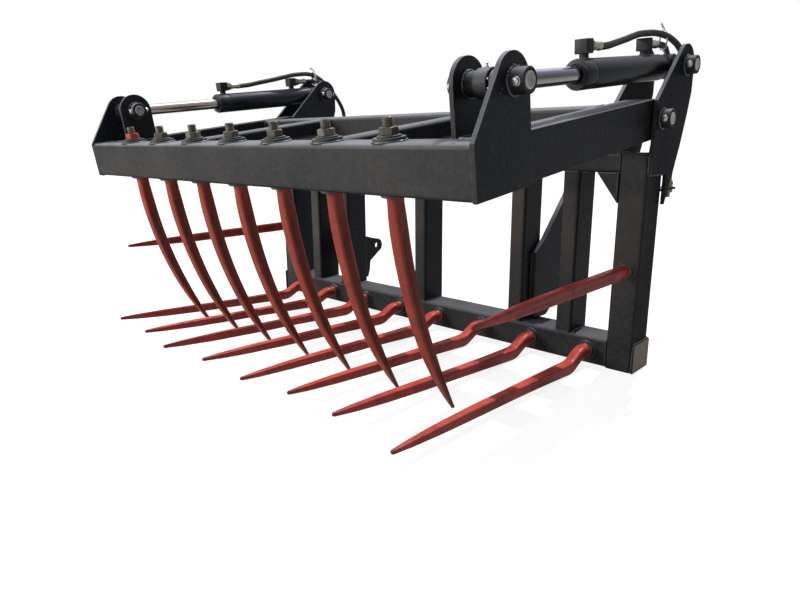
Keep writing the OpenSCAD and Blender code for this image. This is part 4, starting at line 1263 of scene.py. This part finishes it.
# %% Couplings behind the plates
COUPLING_SPOTS = ((730, 180), (695, 130))
COUPLING_PLATE_TOP = 488
LOCK_NUT_DROP = 14.6
upside_down = turned_about(180, "X")
couplings, coupling_ends = bmesh.new(), bmesh.new()
coupling_tail = stock(thread(8, 31, 2.0, 0.9))
lock_nut = stock(hex_nut(24, 8.5, 8.2))
for sign in SIDES.values():
    for x, y in COUPLING_SPOTS:
        spot = at(sign * x, y, COUPLING_PLATE_TOP)
        ferrule_end = spot @ at(0, 0, HOSE_NUT_LENGTH + FERRULE_LENGTH)
        add_copy(couplings, hose_nut, spot)
        add_copy(coupling_ends, ferrule, ferrule_end @ upside_down)
        add_copy(couplings, coupling_tail, spot @ upside_down @ at(0, 0, -3))
        add_copy(couplings, lock_nut, spot @ at(0, 0, -LOCK_NUT_DROP))
finish_piece("plate_couplings", couplings, zinc, "frame", "hose_couplings")
finish_piece("coupling_ferrules", coupling_ends, dull_zinc, "frame")
print("couplings fitted")

# %% [markdown]
# ## Weld beads
#
# The frame was welded by hand, and a bead is a low ridge with a ripple for each step of the
# torch. The path helper is used again, with rings that swell and shrink a little. The tables
# give each seam as the start, the end and the radius of its bead, and the left is mirrored.

# %% Beads
BEAD_STEP = 2.6
BEAD_SIDES = 7
BEAD_HINT = Vector((0.31, 0.42, 0.85))


def add_bead(target, points, radius, closed=False):
    """Lays a rippled bead through the points of a seam."""
    spots = []
    for first, second in zip(points, points[1:]):
        count = max(1, round((second - first).length / BEAD_STEP))
        spots += [first.lerp(second, index / count) for index in range(count)]
    spots.append(points[-1])
    sizes = []
    for index, spot in enumerate(spots):
        ripple = 0.86 + 0.14 * cos(index * pi * 0.8)
        wander = 1 + 0.22 * noise.noise(spot * 0.05)
        sizes.append(radius * ripple * wander)
    if closed:
        levels = path_levels(spots, sizes, BEAD_HINT)
        bead = ringed([*levels[:-1], levels[0]], BEAD_SIDES)
    else:
        sizes[0] = sizes[-1] = radius * 0.45
        bead = tube(spots, sizes, BEAD_HINT, BEAD_SIDES)
    add_once(target, bead)


def line_beads(target, place, rows, sign=1):
    for x1, y1, z1, x2, y2, z2, radius in rows:
        ends = (Vector((sign * x1, y1, z1)), Vector((sign * x2, y2, z2)))
        add_bead(target, [place @ end for end in ends], radius)


def ring_bead(target, place, ring_radius, radius=2.6):
    """A bead round Z of the place."""
    count = max(12, round(2 * pi * ring_radius / BEAD_STEP))
    turns = [2 * pi * index / count for index in range(count + 1)]
    points = [place @ circle(ring_radius, 0)(turn) for turn in turns]
    add_bead(target, points, radius, True)


print("beads follow lines and rings")

# %% Beads of the frame
COLLAR_BEAD = (COLLAR_RADIUS + 1.2, 3.4)
POST_XS = (-552, -385, 0, 385, 552)
UPRIGHT_SEAMS = [
    (685, -41, 81, 685, 41, 81, 3), (685, -41, 535, 685, 41, 535, 3),
    (686, -48.5, 6, 686, -48.5, 74, 2.2), (686, -48.5, 540, 686, -48.5, 582, 2.2),
    (762, -47, 81.5, 762, 47, 81.5, 3.4), (762, -50.5, 4, 762, -50.5, 76, 2.4),
    (762, -46, 531, 762, 47, 531, 3.6), (762, -51, 534, 762, -51, 584, 2.6),
    (684, -50.6, 474, 684, -50.6, 533, 2.4), (682, -50.6, 535, 628, -50.6, 535, 2.4),
    *((x, -46, 587, x, 46, 587, 3.2) for x in (658.4, 669.6)),
]
BRACKET_SEAMS = [
    (411, -1, 83, 411, -1, 286, 3.2), (-411, -1, 83, -411, -1, 144, 3.2),
    (-411, -1, 400, -411, -1, 488, 3.2),
]
frame_beads = bmesh.new()
for x in POST_XS:
    for z, low in ((80, 1), (536, -1)):
        line_beads(frame_beads, HERE, [
            *((x + side, -41, z + low, x + side, 41, z + low, 3) for side in (-25, 25)),
            *((x - 20, y, z, x + 20, y, z, 2.2) for y in (-48.5, 48.5)),
        ])
for sign in SIDES.values():
    line_beads(frame_beads, HERE, UPRIGHT_SEAMS, sign)
    for axis in (arm_axis, base_axis):
        for x in (772, 658):
            ring_bead(frame_beads, along_x(sign, axis, x), *COLLAR_BEAD)
for place in bush_places(-50.8, TO_FRONT):
    ring_bead(frame_beads, place, 25.6)
line_beads(frame_beads, HERE, BRACKET_SEAMS)
finish_piece("frame_weld_beads", frame_beads, weld_paint, "frame")
print("frame beads:", triangle_count["frame_weld_beads"], "triangles")

# %% Beads of the grab
EAR_SEAMS = [
    (675, -704.5, 48.5, 752, -704.5, 48.5, 3), (670, -704.5, -28, 670, -704.5, 45, 3),
    (671.6, -609, 48.8, 671.6, -703, 48.8, 3.4), (660.6, -609, 46, 660.6, -703, 46, 3),
    (756, -607, 48.4, 756, -703, 48.4, 3.2), (755.5, -776, 50.2, 755.5, -708, 50.2, 3.2),
    (757, -776, -50.6, 757, -624, -50.6, 2.6),
]
BRACE_SEAMS = [
    *((x, y, 2, x, y, 45, 3) for x in (290, 340) for y in (-704.6, -165.6)),
    (294, -704.6, 48.4, 336, -704.6, 48.4, 2.6), (294, -165.6, 47.4, 336, -165.6, 47.4, 2.6),
    *((670.4, y, -26, 670.4, y, 42, 3) for y in (-105, -165)),
    (670.4, -112, 47.6, 670.4, -158, 47.6, 2.8),
]
grab_beads = bmesh.new()
for sign in SIDES.values():
    line_beads(grab_beads, on_grab, EAR_SEAMS, sign)
    for x in (766.6, 660.4, 672, 755):
        ring_bead(grab_beads, along_x(sign, rod_axis, x), *COLLAR_BEAD)
    line_beads(grab_beads, on_grab, BRACE_SEAMS, sign)
for x in upper_xs:
    ring_bead(grab_beads, on_grab @ at(x, -BEAM_REACH, 50.4), 33.6, 3.2)
    ring_bead(grab_beads, on_grab @ at(x, -BEAM_REACH, -50.6), 28.4, 2.2)
finish_piece("grab_weld_beads", grab_beads, weld_paint, "grab")
print("grab beads:", triangle_count["grab_weld_beads"], "triangles")

# %% Beads of the cylinders
for side, place in on_cylinder.items():
    beads = bmesh.new()
    ring_bead(beads, place @ at(0, -47.6, 0) @ TO_FRONT, 26.4)
    for port in PORTS:
        ring_bead(beads, place @ at(0, -port, 31.0), 12.2, 1.7)
    finish_piece("barrel_weld_beads_" + side, beads, weld_paint, "barrel_" + side)
    beads = bmesh.new()
    ring_bead(beads, place @ at(0, -779.4, 0) @ TO_FRONT, 13.6, 2.2)
    finish_piece("rod_weld_beads_" + side, beads, weld_paint, "rod_" + side)
print("cylinder beads laid")

# %% [markdown]
# ## Spatter
#
# Welding throws small drops of steel that stick beside the seam and were painted over. A few
# dozen flattened drops near each seam are enough.

# %% Drops of spatter
drop_drawing = bmesh.new()
bmesh.ops.create_icosphere(drop_drawing, subdivisions=2, radius=1)
drop = stock(drop_drawing)


def spatter(target, place, x_range, y_range, z_range, normal_axis, count):
    """Scatters drops over a small box of a flat face."""
    for _ in range(count):
        spot = Vector([rng.uniform(*ends) for ends in (x_range, y_range, z_range)])
        size = rng.uniform(0.5, 1.5)
        scale = [size * rng.uniform(0.8, 1.3)] * 3
        scale[normal_axis] = size * 0.6
        add_copy(target, drop, place @ Matrix.Translation(spot) @ Matrix.Diagonal((*scale, 1)))


def spatter_rows(target, place, rows, sign=1, x=0):
    """Each row is its range of x, y and z, its normal's axis and its count."""
    for x_range, *rest in rows:
        spatter(target, place, sorted(x + sign * value for value in x_range), *rest)


EAR_SPATTER = [
    ((766, 766), (-700, -676), (82, 130), 0, 14), ((766, 766), (-690, -610), (60, 92), 0, 10),
    ((672, 740), (-700, -620), (48, 48), 2, 22), ((700, 752), (-776, -712), (50, 50), 2, 12),
]
POST_SPATTER = [
    ((-30, 30), (-50, -50), (66, 96), 1, 12), ((26, 46), (-44, 38), (80, 80), 2, 26),
    ((-50, -26), (-44, 38), (80, 80), 2, 30),
]
PLATE_SPATTER = [((761, 761), (-45, 45), (84, 110), 0, 12), ((690, 750), (-50, -50), (500, 530), 1, 10)]
grab_drops, frame_drops = bmesh.new(), bmesh.new()
for sign in SIDES.values():
    spatter_rows(grab_drops, on_grab, EAR_SPATTER, sign)
for x in upper_xs:
    spatter(grab_drops, on_grab, (x + 30, x + 52), (-765, -720), (50, 50), 2, 7)
for x in POST_XS:
    spatter_rows(frame_drops, HERE, POST_SPATTER, x=x)
for sign in SIDES.values():
    for x in (768, 671):
        for _ in range(16):
            turn = rng.uniform(radians(15), radians(165)) + radians(90 * sign)
            spot = circle(rng.uniform(23.5, 27.5), 0)(turn)
            size = Matrix.Scale(rng.uniform(1.2, 2.6), 4)
            add_copy(grab_drops, drop, along_x(sign, rod_axis, x) @ Matrix.Translation(spot) @ size)
for sign in SIDES.values():
    spatter_rows(frame_drops, HERE, PLATE_SPATTER, sign)
finish_piece("grab_spatter", grab_drops, weld_paint, "grab")
finish_piece("frame_spatter", frame_drops, weld_paint, "frame")
print("spatter:", triangle_count["grab_spatter"] + triangle_count["frame_spatter"], "triangles")

# %% [markdown]
# ## Grease nipples and cable ties
#
# A grease nipple is a small turned button on each rod eye and each barrel eye. A white cable
# tie holds the two hoses of a side together just before they dive behind the plate.

# %% Grease nipples
nipple = stock(lathe([(0, -2), (4, -2), (4, 2), (2.6, 2.6), (2.2, 5), (3.2, 6.4), (3.0, 7.8),
                      (1.4, 8.8), (0, 8.8)], 20))
for side, place in on_cylinder.items():
    greased = many_copies(nipple, [place @ at(0, -ROD_EYE_REACH, 26.4)])
    finish_piece("rod_nipple_" + side, greased, steel, "rod_" + side)
    greased = many_copies(nipple, [place @ at(0, 0, 30.4)])
    finish_piece("barrel_nipple_" + side, greased, steel, "barrel_" + side)
print("nipples fitted")

# %% Cable ties
TIE_Y = 105.0
TIE_STEPS = 40
TIE_WIDTH = {"left": 10.0, "right": 6.0}


def strap(points, width, thick):
    """A flat band along a path, closed at both ends."""
    def band(turn):
        side, rise = squared(turn, 8)
        return side * width / 2, rise * thick / 2

    return tube(points, [1.0] * len(points), Vector((0.2, 1, 0)), 16, section=band)


for side, sign in SIDES.items():
    top = Vector((sign * 711, TIE_Y, 894.5))
    low = Vector((sign * 708, TIE_Y, 844.5))
    loop = []
    for index in range(TIE_STEPS + 1):
        turn = 2 * pi * index / TIE_STEPS
        side_reach = sin(turn) * (10.6 + 1.2 * cos(2 * turn))
        loop.append((top + low) / 2 + Vector((side_reach, 0, cos(turn) * (top - low).length / 2)))
    tie = strap(loop, TIE_WIDTH[side], 1.6)
    head_place = Vector((sign * 708, TIE_Y - 2, 896.5))
    tail = [head_place + Vector((0, -step * 2.6, 2 + step * 1.5)) for step in range(8)]
    add_once(tie, moved(rounded_block((6, 7, 8), 1, 2), Matrix.Translation(head_place)))
    add_once(tie, strap(tail, 5.0, 1.4))
    piece = mesh_object("cable_tie_" + side, tie, nylon)
    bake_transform(piece, "barrel_" + side, "frame", start=BEND_START, end=BEND_END)
print("cable ties on")

# %% Count the triangles
print("triangles:", sum(triangle_count.values()))
